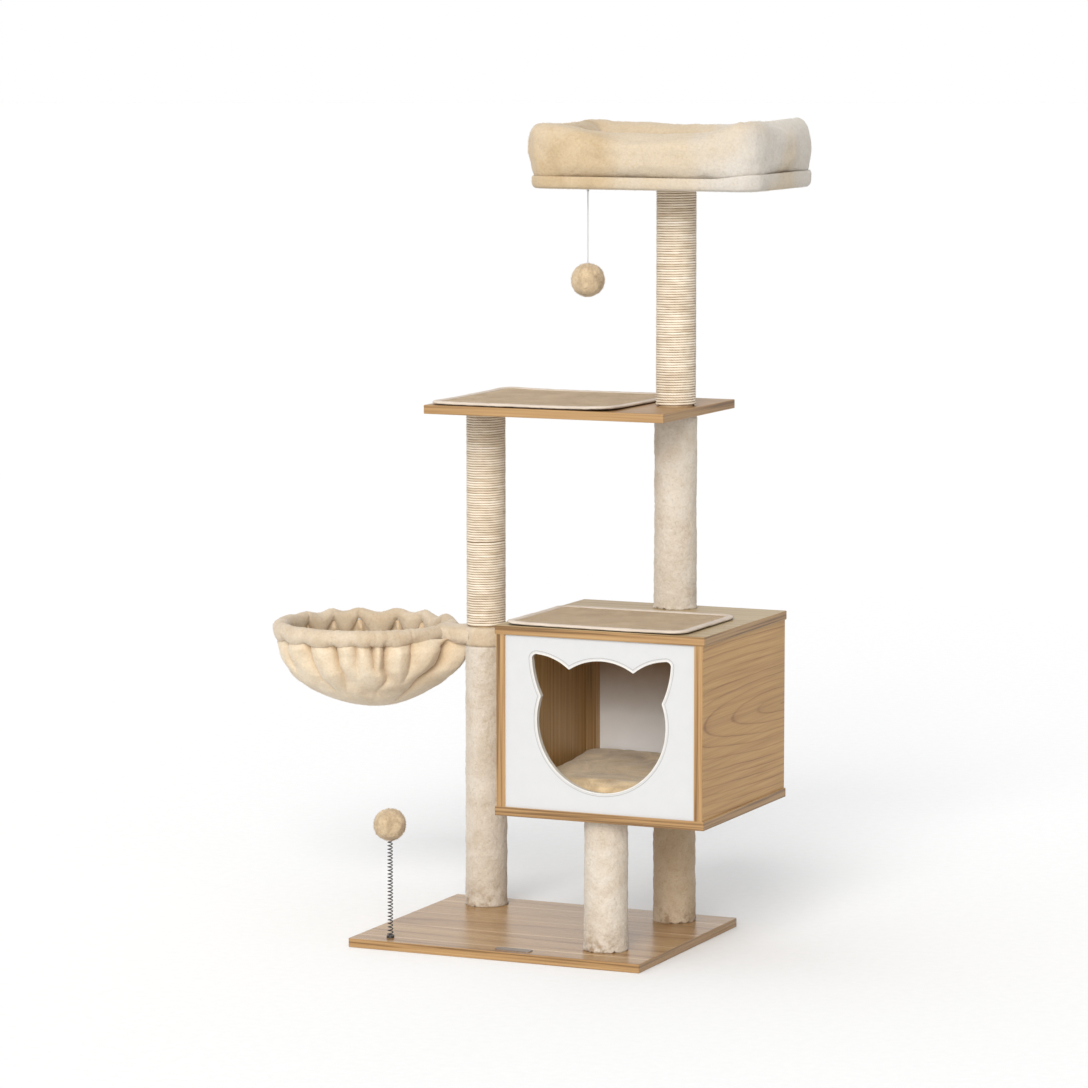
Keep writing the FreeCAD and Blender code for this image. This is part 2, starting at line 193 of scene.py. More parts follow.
def pale_floor():
    look = Look("floor_paint", 0.9, Specular_IOR_Level=0.1)
    grain = look.noise(look.place, 60.0, 3.0)
    return look.paint(look.ramp(grain, (0.3, (0.815, 0.82, 0.825)), (0.7, (0.835, 0.84, 0.845))))


floor_mesh = bpy.data.meshes.new("floor")
round_floor = np.linspace(0, 2 * math.pi, FLOOR_SIDES, endpoint=False)
ring = [(FLOOR_R * math.cos(a), FLOOR_R * math.sin(a), FLOOR_Z) for a in round_floor]
floor_mesh.from_pydata(ring, [], [list(range(FLOOR_SIDES))])
floor_mesh.materials.append(pale_floor())
floor = bpy.data.objects.new("floor", floor_mesh)
scene.collection.objects.link(floor)


# ---- Hanging toy ----
# A fluffy ball on a thin braided string, knotted under the bed's front left part.
# The string is sewn into the ball; the ball is foam with a plush cover.
def new_object(name, data, mat=None):
    obj = bpy.data.objects.new(name, data)
    scene.collection.objects.link(obj)
    if mat is not None:
        data.materials.clear()
        data.materials.append(mat)
    return obj


def stand_in(obj, body, slot, *nodes):
    """The finished piece takes the place of its plain CAD solids and moves with their body."""
    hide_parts(*nodes)
    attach(obj, body)
    return obj


def dress(node, mat):
    """A CAD node whose shape is right keeps it and only gets its finish."""
    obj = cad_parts[node]
    if not obj.material_slots:
        obj.data.materials.append(mat)
    for place in obj.material_slots:
        place.material = mat


def rumple(points, size, seed=0):
    """Smooth lumps of the given size, -1 to 1, at each point. The same on every run."""
    q = np.asarray(points) / size + seed * 17.31
    low = np.floor(q).astype(np.int64)
    part = q - low
    part = part * part * (3 - 2 * part)
    total = 0.0
    for dx in (0, 1):
        for dy in (0, 1):
            for dz in (0, 1):
                mark = (low[..., 0] + dx) * 73856093 ^ (low[..., 1] + dy) * 19349663
                mark = mark ^ (low[..., 2] + dz) * 83492791
                mark = ((mark ^ (mark >> 13)) * 1274126177) & 0x7FFFFFFF
                value = ((mark ^ (mark >> 16)) & 0xFFFF) / 32767.5 - 1.0
                weight = 1.0
                for axis, step in enumerate((dx, dy, dz)):
                    weight = weight * (part[..., axis] if step else 1 - part[..., axis])
                total = total + value * weight
    return total


def grid_skin(name, points, mat, wrap_u=False, wrap_v=False, uv=None):
    """A smooth mesh over a grid of points (u, v, 3), closed where it wraps."""
    nu, nv = points.shape[:2]
    u = np.arange(nu if wrap_u else nu - 1)[:, None]
    v = np.arange(nv if wrap_v else nv - 1)[None, :]
    u2, v2 = (u + 1) % nu, (v + 1) % nv
    faces = np.stack([u * nv + v, u2 * nv + v, u2 * nv + v2, u * nv + v2], -1).reshape(-1, 4)
    mesh = bpy.data.meshes.new(name)
    mesh.from_pydata(points.reshape(-1, 3).tolist(), [], faces.tolist())
    mesh.polygons.foreach_set("use_smooth", [True] * len(faces))
    if uv is not None:
        layer = mesh.uv_layers.new(name="along")
        layer.data.foreach_set("uv", uv.reshape(-1, 2)[faces.reshape(-1)].reshape(-1))
    mesh.update()
    return new_object(name, mesh, mat)


def plush(name, light, dark, lump=0.012, pile=0.0016, depth=0.0006, specks=0.90, brushed=(),
          foot_flecks=None, crease_shade=None):
    """Short pile cloth: mottled by the way the pile lies, with a sheen from the fibre ends.

    brushed lists where along X the pile starts to lie a paler way, and that colour; foot_flecks is
    the colour of darker flecks near the floor, and crease_shade the painted shade deep in a fold.
    """
    look = Look(name, 0.95, Sheen_Weight=0.30, Sheen_Roughness=0.5, Specular_IOR_Level=0.15)
    look.skin.inputs["Sheen Tint"].default_value = (1.0, 0.97, 0.92, 1.0)
    patches = look.noise(look.place, 0.35 / lump, 4.0, 0.62, 0.6)
    tufts = look.noise(look.place, 0.5 / pile, 3.0, 0.7)
    hollows = look.noise(look.place, 0.3 / pile, 4.0, 0.7, 1.2)
    body = look.ramp(patches, (0.33, dark), (0.62, light))
    if brushed:
        lie = look.sum("MULTIPLY_ADD", look.split(look.place)[0], 0.9, look.noise(look.place, 5.0, 2.0))
        for start, color in brushed:
            body = look.mix(look.ramp(lie, (start, 0.0), (start + 0.14, 0.95)), body, color)
    # Painted shade: a warmer, darker colour deep in the folds, by the crease depth held in the UV.
    if crease_shade:
        body = look.mix(look.ramp(look.split(look.uv)[0], (0.05, 0.0), (0.65, 0.8)), body, crease_shade)
    # darker brown flecks towards the foot, fading out by about 62 mm up
    if foot_flecks:
        low = look.ramp(look.split(look.place)[2], (0.020, 1.0), (0.062, 0.0))
        marks = look.ramp(look.noise(look.place, 42.0, 4.0, 0.65), (0.46, 0.0), (0.60, 0.85))
        body = look.mix(look.times(low, marks), body, foot_flecks)
    shade = look.ramp(tufts, (0.3, 0.88), (0.62, 1.0))
    color = look.times(body, shade)
    pit = (specks, specks * 0.95, specks * 0.88)
    color = look.times(color, look.ramp(hollows, (0.34, pit), (0.47, (1, 1, 1))))
    return look.paint(color, None, ((patches, depth * 2.0), (hollows, depth), (tufts, depth)))


ball_cloth = plush("ball_plush", light=(0.58, 0.45, 0.29), dark=(0.36, 0.26, 0.16),
                   lump=0.008, pile=0.0014, depth=0.0011, specks=0.80)


def plush_ball(name, centre, radius, seed):
    mesh = bpy.data.meshes.new(name)
    made = bmesh.new()
    bmesh.ops.create_icosphere(made, subdivisions=6, radius=1.0)
    made.to_mesh(mesh)
    made.free()
    unit = np.array([v.co[:] for v in mesh.vertices])
    lumps = 0.0009 * rumple(unit * radius, 0.016, seed) + 0.0007 * rumple(unit * radius, 0.0035, seed + 1)
    reach = radius - 0.0008 + lumps
    points = unit * reach[:, None] + np.array(centre)
    mesh.vertices.foreach_set("co", points.reshape(-1))
    mesh.polygons.foreach_set("use_smooth", [True] * len(mesh.polygons))
    return new_object(name, mesh, ball_cloth)


FIBRE_LEAN = 0.6


def fuzz(obj, count, length, width, seed):
    """Loose fibre ends on a plush piece: thin tapered blades standing off its faces."""
    mesh = obj.data
    mesh.calc_loop_triangles()
    rng = np.random.default_rng(seed)
    corners = np.empty(len(mesh.loop_triangles) * 3, dtype=np.int32)
    mesh.loop_triangles.foreach_get("vertices", corners)
    spots = np.empty(len(mesh.vertices) * 3)
    mesh.vertices.foreach_get("co", spots)
    tri = spots.reshape(-1, 3)[corners.reshape(-1, 3)]
    out = np.cross(tri[:, 1] - tri[:, 0], tri[:, 2] - tri[:, 0])
    area = np.linalg.norm(out, axis=1)
    picks = rng.choice(len(area), count, p=area / area.sum())
    share = rng.dirichlet((1, 1, 1), count)
    root = np.einsum("ij,ijk->ik", share, tri[picks])
    way = out[picks] / area[picks, None] + FIBRE_LEAN * rng.normal(size=(count, 3))
    way /= np.linalg.norm(way, axis=1)[:, None]
    side = np.cross(way, rng.normal(size=(count, 3)))
    side *= width / np.linalg.norm(side, axis=1)[:, None]
    tip = root + way * length * rng.uniform(0.5, 1.0, (count, 1))
    points = np.stack([root - side, root + side, tip], 1).reshape(-1, 3)
    blades = bpy.data.meshes.new(obj.name + "_fibres")
    blades.from_pydata(points.tolist(), [], np.arange(3 * count).reshape(-1, 3).tolist())
    fibres = new_object(obj.name + "_fibres", blades, mesh.materials[0])
    fibres.parent = obj
    return fibres


STRING_TOP, STRING_END, STRING_R = 1.2585, 1.1367, 0.001
TOY_X, TOY_Y, TOY_BALL_Z, TOY_BALL_R = 0.048, 0.070, 1.111, 0.0287


def cord_look():
    look = Look("toy_cord", 0.8, Sheen_Weight=0.2)
    strands = look.add("TexWave", "Fac", {"Vector": look.stretch((260, 260, 900)), "Scale": 1.0},
                       wave_type="BANDS", bands_direction="DIAGONAL")
    color = look.ramp(strands, (0.2, (0.42, 0.41, 0.38)), (0.8, (0.66, 0.65, 0.61)))
    return look.paint(color, None, ((strands, 0.0002),))


line = bpy.data.curves.new("toy_line", "CURVE")
line.dimensions = "3D"
line.bevel_depth = STRING_R
line.bevel_resolution = 3
run = line.splines.new("NURBS")
heights = (STRING_TOP, STRING_TOP - 0.012, STRING_END + 0.012, STRING_END)
run.points.add(len(heights) - 1)
for spot, height in zip(run.points, heights):
    spot.co = (TOY_X, TOY_Y, height, 1.0)
run.order_u = 3
run.use_endpoint_u = True
toy_string = new_object("toy_line", line, cord_look())
toy_ball = plush_ball("hanging_plush_ball", (TOY_X, TOY_Y, TOY_BALL_Z), TOY_BALL_R, seed=3)
stand_in(toy_string, "hanging_toy", "toy_cord", "toy_string")
stand_in(toy_ball, "hanging_toy", "ball_plush", "hanging_ball")
fuzz(toy_ball, 2600, 0.0032, 0.00016, 11)


def flecked(name, rough, dark, light, size, bump, shine=None, **sockets):
    """Two close tones in small flecks; shine is the roughness of the dark and of the light ones."""
    look = Look(name, rough, **sockets)
    flecks = look.noise(look.place, size, 3.0)
    uneven = look.ramp(flecks, (0.3, shine[0]), (0.7, shine[1])) if shine else None
    return look.paint(look.ramp(flecks, (0.3, dark), (0.7, light)), uneven, ((flecks, bump),))


zinc_plate = flecked("zinc_plate", 0.34, (0.48, 0.49, 0.50), (0.66, 0.67, 0.68), 240.0, 0.00005,
                     shine=(0.28, 0.42), Metallic=1.0)
dress("toy_anchor", zinc_plate)
dress("toy_knot", toy_string.data.materials[0])


# ---- Base board, platform and house boards ----
# Particle board in a light oak print, edge-banded in the same print, 15 mm thick.
# The grain runs along each board; the bands on the edges show long straight streaks.
X, Y, Z = 0, 1, 2


def oak(name, thin, grain, seed, tone, density=55.0, arch=None, gloss=0.42, plank=None):
    """Oak print for a board with its thickness along axis thin and its grain along axis grain.

    The growth lines run with the grain; arch is (along, across, taper), the middle of the
    long ovals that a board cut near the heart shows; plank is the width of printed planks.
    """
    look = Look(name, gloss, Specular_IOR_Level=0.45)
    across = ({0, 1, 2} - {thin, grain}).pop()

    def along_grain(along, over):
        size = [over, over, over]
        size[grain] = along
        return look.stretch(size, where=shift)

    def tinted(color):
        return [part * shade for part, shade in zip(color, tone)]

    shift = look.add("Mapping", 0, {"Vector": look.place, "Location": (seed, seed * 0.7, seed * 1.3)})
    spot = look.split(look.place)
    drift = look.noise(along_grain(1.5, 6.0), 1.0, 1.5, 0.4)
    wander = look.sum("MULTIPLY_ADD", drift, 0.050, spot[across])
    wander = look.sum("MULTIPLY_ADD", look.noise(along_grain(9.0, 34.0), 1.0, 2.0), 0.0050, wander)
    if arch:
        along, over, taper = arch
        to_end = look.sum("MULTIPLY", look.sum("SUBTRACT", spot[grain], along), taper)
        to_side = look.sum("SUBTRACT", wander, over)
        wander = look.sum("SQRT", look.sum("ADD", look.sum("MULTIPLY", to_end, to_end),
                                           look.sum("MULTIPLY", to_side, to_side)))
    uneven = look.noise(look.add("CombineXYZ", 0, {"X": wander, "Y": seed}), 11.0, 2.0)
    rings = look.sum("FRACT", look.sum("MULTIPLY_ADD", wander, density, look.sum("MULTIPLY", uneven, 2.2)))
    bold = look.noise(along_grain(4.0, 30.0), 1.0, 2.0)
    lines = look.ramp(rings, (0.0, (0.60, 0.48, 0.36)), (0.05, (0.74, 0.63, 0.52)), (0.11, (1, 1, 1)),
                      (0.72, (1, 1, 1)), (0.93, (0.91, 0.86, 0.80)), (1.0, (0.60, 0.48, 0.36)))
    lines = look.mix(look.ramp(bold, (0.36, 0.30), (0.60, 1.0)), (1.0, 1.0, 1.0), lines)
    fibre = look.noise(along_grain(9.0, 900.0), 1.0, 3.0, 0.6)
    streak = look.noise(along_grain(2.5, 210.0), 1.0, 3.0, 0.55)
    broad = look.noise(along_grain(2.0, 11.0), 1.0, 2.0, 0.5)
    base = look.ramp(broad, (0.30, tinted((0.40, 0.250, 0.115))), (0.70, tinted((0.46, 0.300, 0.145))))
    if plank:
        joint = look.sum("FRACT", look.sum("MULTIPLY_ADD", spot[across], 1 / plank, 0.62))
        base = look.mix(look.ramp(joint, (0.0, 0.7), (0.020, 0.7), (0.032, 0.0)), base, (0.78, 0.61, 0.42))
    face = look.times(look.times(base, lines),
                    look.ramp(fibre, (0.32, 0.88), (0.6, 1.03)))
    face = look.times(face, look.ramp(streak, (0.36, (0.86, 0.80, 0.74)), (0.56, (1.02, 1.02, 1.02))))
    edge_size = [3.0, 3.0, 3.0]
    edge_size[thin] = 230.0
    streaks = look.noise(look.stretch(edge_size, where=shift), 1.0, 3.0, 0.55, 0.2)
    band = look.ramp(streaks, (0.36, (0.145, 0.075, 0.026)), (0.48, (0.305, 0.173, 0.067)),
                     (0.66, (0.385, 0.235, 0.104)))
    on_face = look.ramp(look.sum("ABSOLUTE", look.split(look.facing)[thin]), (0.55, 0.0), (0.75, 1.0))
    color = look.mix(on_face, band, face)
    return look.paint(color, look.ramp(fibre, (0.3, gloss + 0.08), (0.7, gloss - 0.05)),
                      ((fibre, 0.00008), (lines, 0.00005)))


dress("base_board", oak("oak_base", Z, X, 0.31, (0.89, 0.87, 0.84), density=18.0,
                        arch=(0.30, -0.02, 0.10), gloss=0.28, plank=0.108))
dress("platform_board", oak("oak_platform", Z, X, 1.7, (0.84, 0.78, 0.70), density=40.0))
dress("house_roof", oak("oak_roof", Z, X, 2.9, (0.98, 1.17, 1.36), density=34.0, arch=(0.42, 0.11, 0.11)))
dress("house_floor", oak("oak_floor", Z, X, 4.3, (0.98, 0.97, 0.95)))
# Painted light: the left side board and the battens get much lighter oak tones than the other boards, for
# the dim inside of the house.
dress("house_left_side", oak("oak_left", X, Z, 5.1, (1.25, 1.20, 1.00), density=70.0))
dress("house_right_side", oak("oak_right", X, Y, 6.6, (1.03, 0.92, 0.62), density=74.0,
                              arch=(0.185, 0.425, 0.12)))
for side, seed in (("left", 7.2), ("right", 8.2)):
    batten_oak = oak("oak_batten_" + side, X, Z, seed, (1.30, 1.27, 1.2), density=60.0)
    dress("house_batten_" + side, batten_oak)


def chipboard():
    look = Look("raw_chipboard", 0.85)
    chips = look.add("TexVoronoi", "Distance", {"Vector": look.place, "Scale": 330.0})
    return look.paint(look.ramp(chips, (0.1, (0.34, 0.25, 0.15)), (0.7, (0.56, 0.44, 0.29))),
                      None, ((chips, 0.0003),))


raw_board = chipboard()
dress("bed_board", raw_board)
dress("house_dowels", raw_board)


# ---- Blank plate on the base board ----
# A small brushed metal plate with round corners, lying flat by the front edge.
# It is glued on and bears no marks.
def brushed_plate():
    look = Look("brushed_plate", 0.45, Metallic=0.55)
    scratches = look.noise(look.stretch((40, 1500, 1500)), 1.0, 3.0)
    return look.paint(look.ramp(scratches, (0.3, (0.20, 0.165, 0.14)), (0.7, (0.34, 0.29, 0.25))),
                      look.ramp(scratches, (0.3, 0.5), (0.7, 0.38)), ((scratches, 0.00005),))


dress("badge_plate", brushed_plate())


# ---- White front and back panels of the house ----
# Painted board, matt white. The doorway's routed edge is sealed in cream and slightly rounded.
def white_paint(name, white, shade_top=None):
    """Matt paint. From 105 mm below shade_top upwards, the inner face darkens to brown as painted shade."""
    look = Look(name, 0.55, Specular_IOR_Level=0.35)
    skin_grain = look.noise(look.place, 620.0, 3.0, 0.6)
    tint = look.noise(look.place, 40.0, 3.0)
    face = look.ramp(tint, (0.3, [0.975 * part for part in white]), (0.7, white))
    # Painted shade: the inner face darkens to brown towards its top, for the roof's shadow and the warm
    # light its oak throws there.
    if shade_top:
        height = look.sum("MULTIPLY_ADD", tint, 0.02, look.split(look.place)[2])
        inward = look.ramp(look.sum("MULTIPLY", look.split(look.facing)[1], -1.0), (0.4, 0.0), (0.8, 1.0))
        painted_shade = look.times(look.ramp(height, (shade_top - 0.105, 0.0), (shade_top, 1.0)), inward)
        face = look.mix(painted_shade, face, (0.30, 0.155, 0.045))
    on_face = look.ramp(look.sum("ABSOLUTE", look.split(look.facing)[1]), (0.4, 0.0), (0.8, 1.0))
    cream = look.ramp(look.noise(look.place, 120.0, 3.0),
                      (0.3, (0.52, 0.48, 0.42)), (0.7, (0.58, 0.54, 0.48)))
    return look.paint(look.mix(on_face, cream, face), None, ((skin_grain, 0.00009),))


# The back panel's white is much lighter than the front panel's: painted light for the dim inside of the
# house.
dress("house_front_panel", white_paint("front_panel_white", (0.50, 0.50, 0.502)))
dress("house_back_panel", white_paint("back_panel_white", (0.90, 0.88, 0.86), 0.475))


# ---- Routed edge round the doorway ----
# The cat-head cut-out's front edge is sealed with a thin cream bead. A fine grey bar 4 mm
# outside it stands for the groove routed in the paint; its grey is the groove's painted shade.
HEAD_X, HEAD_Z, FACE_R, CROWN_R, PANEL_FRONT = 0.178, 0.400, 0.116, 0.105, -0.172
BEAD_R, GROOVE_R, GROOVE_OUT, BAR_SIDES = 0.0015, 0.0005, 0.0040, 10


def arc_through(p0, p1, p2, count):
    """Points along the circular arc from p0 through p1 to p2, without its last point."""
    (ax, az), (bx, bz), (cx, cz) = p0, p1, p2
    twice = 2 * (ax * (bz - cz) + bx * (cz - az) + cx * (az - bz))
    a2, b2, c2 = ax * ax + az * az, bx * bx + bz * bz, cx * cx + cz * cz
    ux = (a2 * (bz - cz) + b2 * (cz - az) + c2 * (az - bz)) / twice
    uz = (a2 * (cx - bx) + b2 * (ax - cx) + c2 * (bx - ax)) / twice
    turns = [math.atan2(z - uz, x - ux) for x, z in (p0, p1, p2)]
    way = 1 if ((turns[1] - turns[0]) % (2 * math.pi)) < ((turns[2] - turns[0]) % (2 * math.pi)) else -1
    sweep = way * ((way * (turns[2] - turns[0])) % (2 * math.pi))
    radius = math.hypot(ax - ux, az - uz)
    angles = turns[0] + sweep * np.arange(count) / count
    return np.stack([ux + radius * np.cos(angles), uz + radius * np.sin(angles)], -1)


def doorway_outline():
    def on(radius, degrees):
        a = math.radians(degrees)
        return radius * math.cos(a), radius * math.sin(a)

    foot, notch = on(FACE_R, 20), on(CROWN_R, 57)
    tip_out, tip_mid, tip_in = (0.125, 0.099), (0.1225, 0.108), (0.113, 0.1105)
    ear = (0.121, 0.073), (0.083, 0.1035)

    def left(p):
        return -p[0], p[1]

    runs = [
        (foot, (0.0, -FACE_R), left(foot), 120),
        (left(foot), left(ear[0]), left(tip_out), 24),
        (left(tip_out), left(tip_mid), left(tip_in), 10),
        (left(tip_in), left(ear[1]), left(notch), 24),
        (left(notch), (0.0, CROWN_R), notch, 40),
        (notch, ear[1], tip_in, 24),
        (tip_in, tip_mid, tip_out, 10),
        (tip_out, ear[0], foot, 24),
    ]
    return np.concatenate([arc_through(*run) for run in runs])


def round_bar(name, path, radius, mat):
    """A round bar along a closed path of 3-D points."""
    ahead = np.roll(path, -1, 0) - np.roll(path, 1, 0)
    ahead /= np.linalg.norm(ahead, axis=1)[:, None]
    up = np.array([0.0, 1.0, 0.0]) + 0 * ahead
    side = np.cross(ahead, up)
    side /= np.linalg.norm(side, axis=1)[:, None]
    up = np.cross(side, ahead)
    turn = np.linspace(0, 2 * math.pi, BAR_SIDES, endpoint=False)
    points = (path[:, None] + radius * (np.cos(turn)[None, :, None] * side[:, None]
                                        + np.sin(turn)[None, :, None] * up[:, None]))
    return grid_skin(name, points, mat, wrap_u=True, wrap_v=True)


def on_panel(outline, sunk):
    """The outline laid on the front panel, its middle line sunk a little below the face."""
    return np.stack([HEAD_X + outline[:, 0], np.full(len(outline), PANEL_FRONT + sunk),
                     HEAD_Z + outline[:, 1]], -1)


head = doorway_outline()
cream_seal = flecked("doorway_seal", 0.6, (0.55, 0.53, 0.49), (0.60, 0.585, 0.55), 90.0, 0.0001)
doorway_bead = round_bar("doorway_edge_bead", on_panel(head, 0.0004), BEAD_R, cream_seal)
ahead = np.roll(head, -1, 0) - np.roll(head, 1, 0)
outward = np.stack([ahead[:, 1], -ahead[:, 0]], -1) / np.linalg.norm(ahead, axis=1)[:, None]
outward *= np.sign(np.sum(outward * head))
# The groove's shade is painted as a dark grey bar.
doorway_groove = round_bar("doorway_routed_line", on_panel(head + GROOVE_OUT * outward, 0.0001), GROOVE_R,
                           white_paint("groove_shade_line", (0.29, 0.28, 0.26)))
for trim in (doorway_bead, doorway_groove):
    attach(trim, "stand")


# ---- Sisal-wound posts ----
# Three-strand sisal rope, about 4.3 mm thick, glued and wound tight round a card tube.
# The left post's winding has a joint two fifths of the way up, where a new length starts.
TUBE_R, ROPE_R = 0.030, 0.00215
LEFT_POST, RIGHT_POST, FRONT_POST = (-0.180, 0.1545), (0.1735, 0.1545), (0.1655, -0.1205)
BASE_TOP, HOUSE_Z0, HOUSE_Z1 = 0.015, 0.236, 0.554
SLEEVE_Z0, SLEEVE_Z1, PLATFORM_Z0, PLATFORM_Z1, BED_Z0 = 0.470, 0.503, 0.882, 0.897, 1.265
WINDING_JOINT = 0.648


def sisal():
    look = Look("sisal_rope", 0.82, Sheen_Weight=0.15, Specular_IOR_Level=0.2)
    along, around = look.split(look.uv)[0], look.split(look.uv)[1]
    lay = look.sum("MULTIPLY_ADD", along, 1 / 0.0046, look.sum("MULTIPLY", around, 3.0))
    strands = look.sum("SINE", look.sum("MULTIPLY", lay, 2 * math.pi))
    strands = look.sum("MULTIPLY_ADD", strands, 0.5, 0.5)
    fibre = look.noise(look.stretch((700, 60, 1), where=look.uv), 1.0, 3.0, 0.7)
    wraps = look.noise(look.stretch((9.0, 0.1, 1), where=look.uv), 1.0, 3.0, 0.65)
    tint = look.ramp(wraps, (0.30, (0.58, 0.455, 0.315)), (0.50, (0.80, 0.695, 0.55)),
                     (0.70, (0.93, 0.855, 0.73)))
    # Painted shade: darker between the strands, and darker and warm brown towards the top and bottom of each
    # turn, where it sinks into the groove between turns.
    shade = look.times(look.ramp(strands, (0.0, 0.78), (0.6, 1.0)),
                       look.ramp(fibre, (0.3, 0.82), (0.65, 1.06)))
    color = look.times(tint, shade)
    groove_shade_depth = look.sum("ABSOLUTE", look.sum("SUBTRACT", around, 0.5))
    color = look.times(color, look.ramp(groove_shade_depth, (0.09, (1, 1, 1)), (0.24, (0.52, 0.33, 0.16))))
    return look.paint(color, None, ((strands, 0.0005), (fibre, 0.0002)))


rope_look = sisal()


def wound_rope(name, place, z0, z1, joint=None):
    pitch, per_turn = 0.00424, 84
    turns = (z1 - z0 - 2 * ROPE_R) / pitch
    t = np.linspace(0, turns, int(turns * per_turn))
    turn = 2 * math.pi * t
    z = z0 + ROPE_R + t * pitch
    if joint:
        step = np.clip((z - joint) / pitch, 0, 1)
        left_over = 1 - np.clip((z - joint) / (z1 - joint), 0, 1)
        z = z + 0.0011 * step * left_over
    out = np.stack([np.cos(turn), np.sin(turn), 0 * turn], -1)
    middle = np.array([*place, 0.0]) + (TUBE_R + ROPE_R - 0.00015) * out
    middle[:, 2] = z + 0.00055 * rumple(middle * np.array([1.0, 1.0, 2.0]), 0.014, 5)
    thick = ROPE_R * (1.0 + 0.13 * rumple(middle + out * 0.01, 0.006, 6))
    around = np.linspace(math.pi, 3 * math.pi, 9)
    up = np.array([0.0, 0.0, 1.0])
    points = middle[:, None] + thick[:, None, None] * (
        np.cos(around)[None, :, None] * out[:, None] + np.sin(around)[None, :, None] * up)
    length = turn * (TUBE_R + ROPE_R)
    uv = np.stack(np.broadcast_arrays(length[:, None], np.linspace(0, 1, 9)[None, :]), -1)
    return grid_skin(name, points, rope_look, uv=uv)


left_rope = wound_rope("left_post_rope", LEFT_POST, SLEEVE_Z1, PLATFORM_Z0, joint=WINDING_JOINT)
right_rope = wound_rope("right_post_rope", RIGHT_POST, PLATFORM_Z1, BED_Z0)
stand_in(left_rope, "stand", "sisal_rope", "left_upper_sisal")
stand_in(right_rope, "stand", "sisal_rope", "right_upper_sisal")


# ---- Plush-covered posts ----
# Short-pile plush glued round a card tube, butted in a seam at the back.
# The cut lower edge is left ragged where it meets the board, with a few tufts pushed out.
FOOT_FLECK_BROWN = (0.26, 0.17, 0.10)
post_cloth = plush("post_plush", light=(0.57, 0.51, 0.435), dark=(0.49, 0.415, 0.33),
                   lump=0.015, pile=0.0017, depth=0.0009, specks=0.86, foot_flecks=FOOT_FLECK_BROWN)
# Painted shade: a darker, browner copy of the post plush for the lower right post, which stands in shade
# under the house with warm light from the wood on it.
shaded_post_cloth = plush("post_plush_shaded", light=(0.53, 0.425, 0.31), dark=(0.44, 0.335, 0.22),
                      lump=0.030, pile=0.0017, depth=0.0009, specks=0.86, foot_flecks=FOOT_FLECK_BROWN)


def plush_post(name, place, z0, z1, radius, seed, flare, cloth):
    cols = 156
    turn = np.linspace(0, 2 * math.pi, cols, endpoint=False)[None, :]
    z = np.linspace(z0, z1, int((z1 - z0) / 0.0017))[:, None]
    turn, z = np.broadcast_arrays(turn, z)
    place3 = np.stack([radius * np.cos(turn), radius * np.sin(turn), z], -1)
    low, high = z - z0, z1 - z
    reach = radius - 0.0007 + flare * np.exp(-low / 0.05)
    reach = reach + 0.0007 * rumple(place3, 0.024, seed) + 0.0005 * rumple(place3, 0.007, seed + 1)
    reach = reach + 0.0004 * rumple(place3, 0.0026, seed + 2)
    reach = reach + 0.0026 * np.exp(-low / 0.005) * np.clip(rumple(place3, 0.011, seed + 3) + 0.3, 0, 1)
    reach = reach - 0.0022 * np.exp(-high / 0.0018) - 0.0012 * np.exp(-low / 0.0009)
    seam = np.abs((turn - math.pi / 2 + math.pi) % (2 * math.pi) - math.pi) * radius
    reach = reach - 0.0012 * np.exp(-(seam / 0.0012) ** 2) + 0.0007 * np.exp(-((seam - 0.0035) / 0.002) ** 2)
    notches = np.clip(rumple(place3 * np.array([1.0, 1.0, 0.0]), 0.008, seed + 4) - 0.15, 0, 1)
    high_z = z + 0.0085 * notches * np.exp(-low / 0.006)
    points = np.stack([place[0] + reach * np.cos(turn), place[1] + reach * np.sin(turn), high_z], -1)
    inner = np.stack([place[0] + TUBE_R * np.cos(turn[:1]), place[1] + TUBE_R * np.sin(turn[:1]),
                      z0 + 0 * turn[:1]], -1)
    top = inner.copy()
    top[..., 2] = z1
    points = np.concatenate([inner, points, top])
    post = grid_skin(name, points, cloth, wrap_v=True)
    fuzz(post, int((z1 - z0) * 26000), 0.0026, 0.00014, seed)
    return post


# name, post section, place, foot, top, radius, seed, how much the foot flares, cloth
COVERS = (
    ("left_post_plush", "left_lower", LEFT_POST, BASE_TOP, SLEEVE_Z0, 0.0365, 21, 0.0006, post_cloth),
    ("right_post_plush_low", "right_lower", RIGHT_POST, BASE_TOP, HOUSE_Z0,
     0.0365, 31, 0.0008, shaded_post_cloth),
    ("right_post_plush_mid", "right_middle", RIGHT_POST, HOUSE_Z1, PLATFORM_Z0,
     0.0365, 41, 0.0004, post_cloth),
    ("front_post_plush", "front", FRONT_POST, BASE_TOP, HOUSE_Z0, 0.0367, 51, 0.0019, post_cloth))
for cover_name, section, place, z0, z1, radius, seed, flare, cloth in COVERS:
    piece = plush_post(cover_name, place, z0, z1, radius, seed, flare, cloth)
    stand_in(piece, "stand", "post_plush", section + "_plush")


# ---- Inside the posts ----
# Brown card tubes with a black plastic plug in each end, held by zinc-plated bolts and studs.
# The hammock's welded ring and plate are zinc-plated too.
card = flecked("card_tube", 0.9, (0.36, 0.25, 0.15), (0.50, 0.37, 0.23), 160.0, 0.0002)
for section in ("left_lower", "left_upper", "right_lower", "right_middle", "right_upper", "front"):
    dress(section + "_core", card)
dress("post_end_plugs", flecked("plug_plastic", 0.5, (0.02, 0.02, 0.02), (0.05, 0.05, 0.05), 90.0, 0.0002))
for node in ("post_bolts", "platform_stud", "hammock_stud", "hammock_frame"):
    dress(node, zinc_plate)


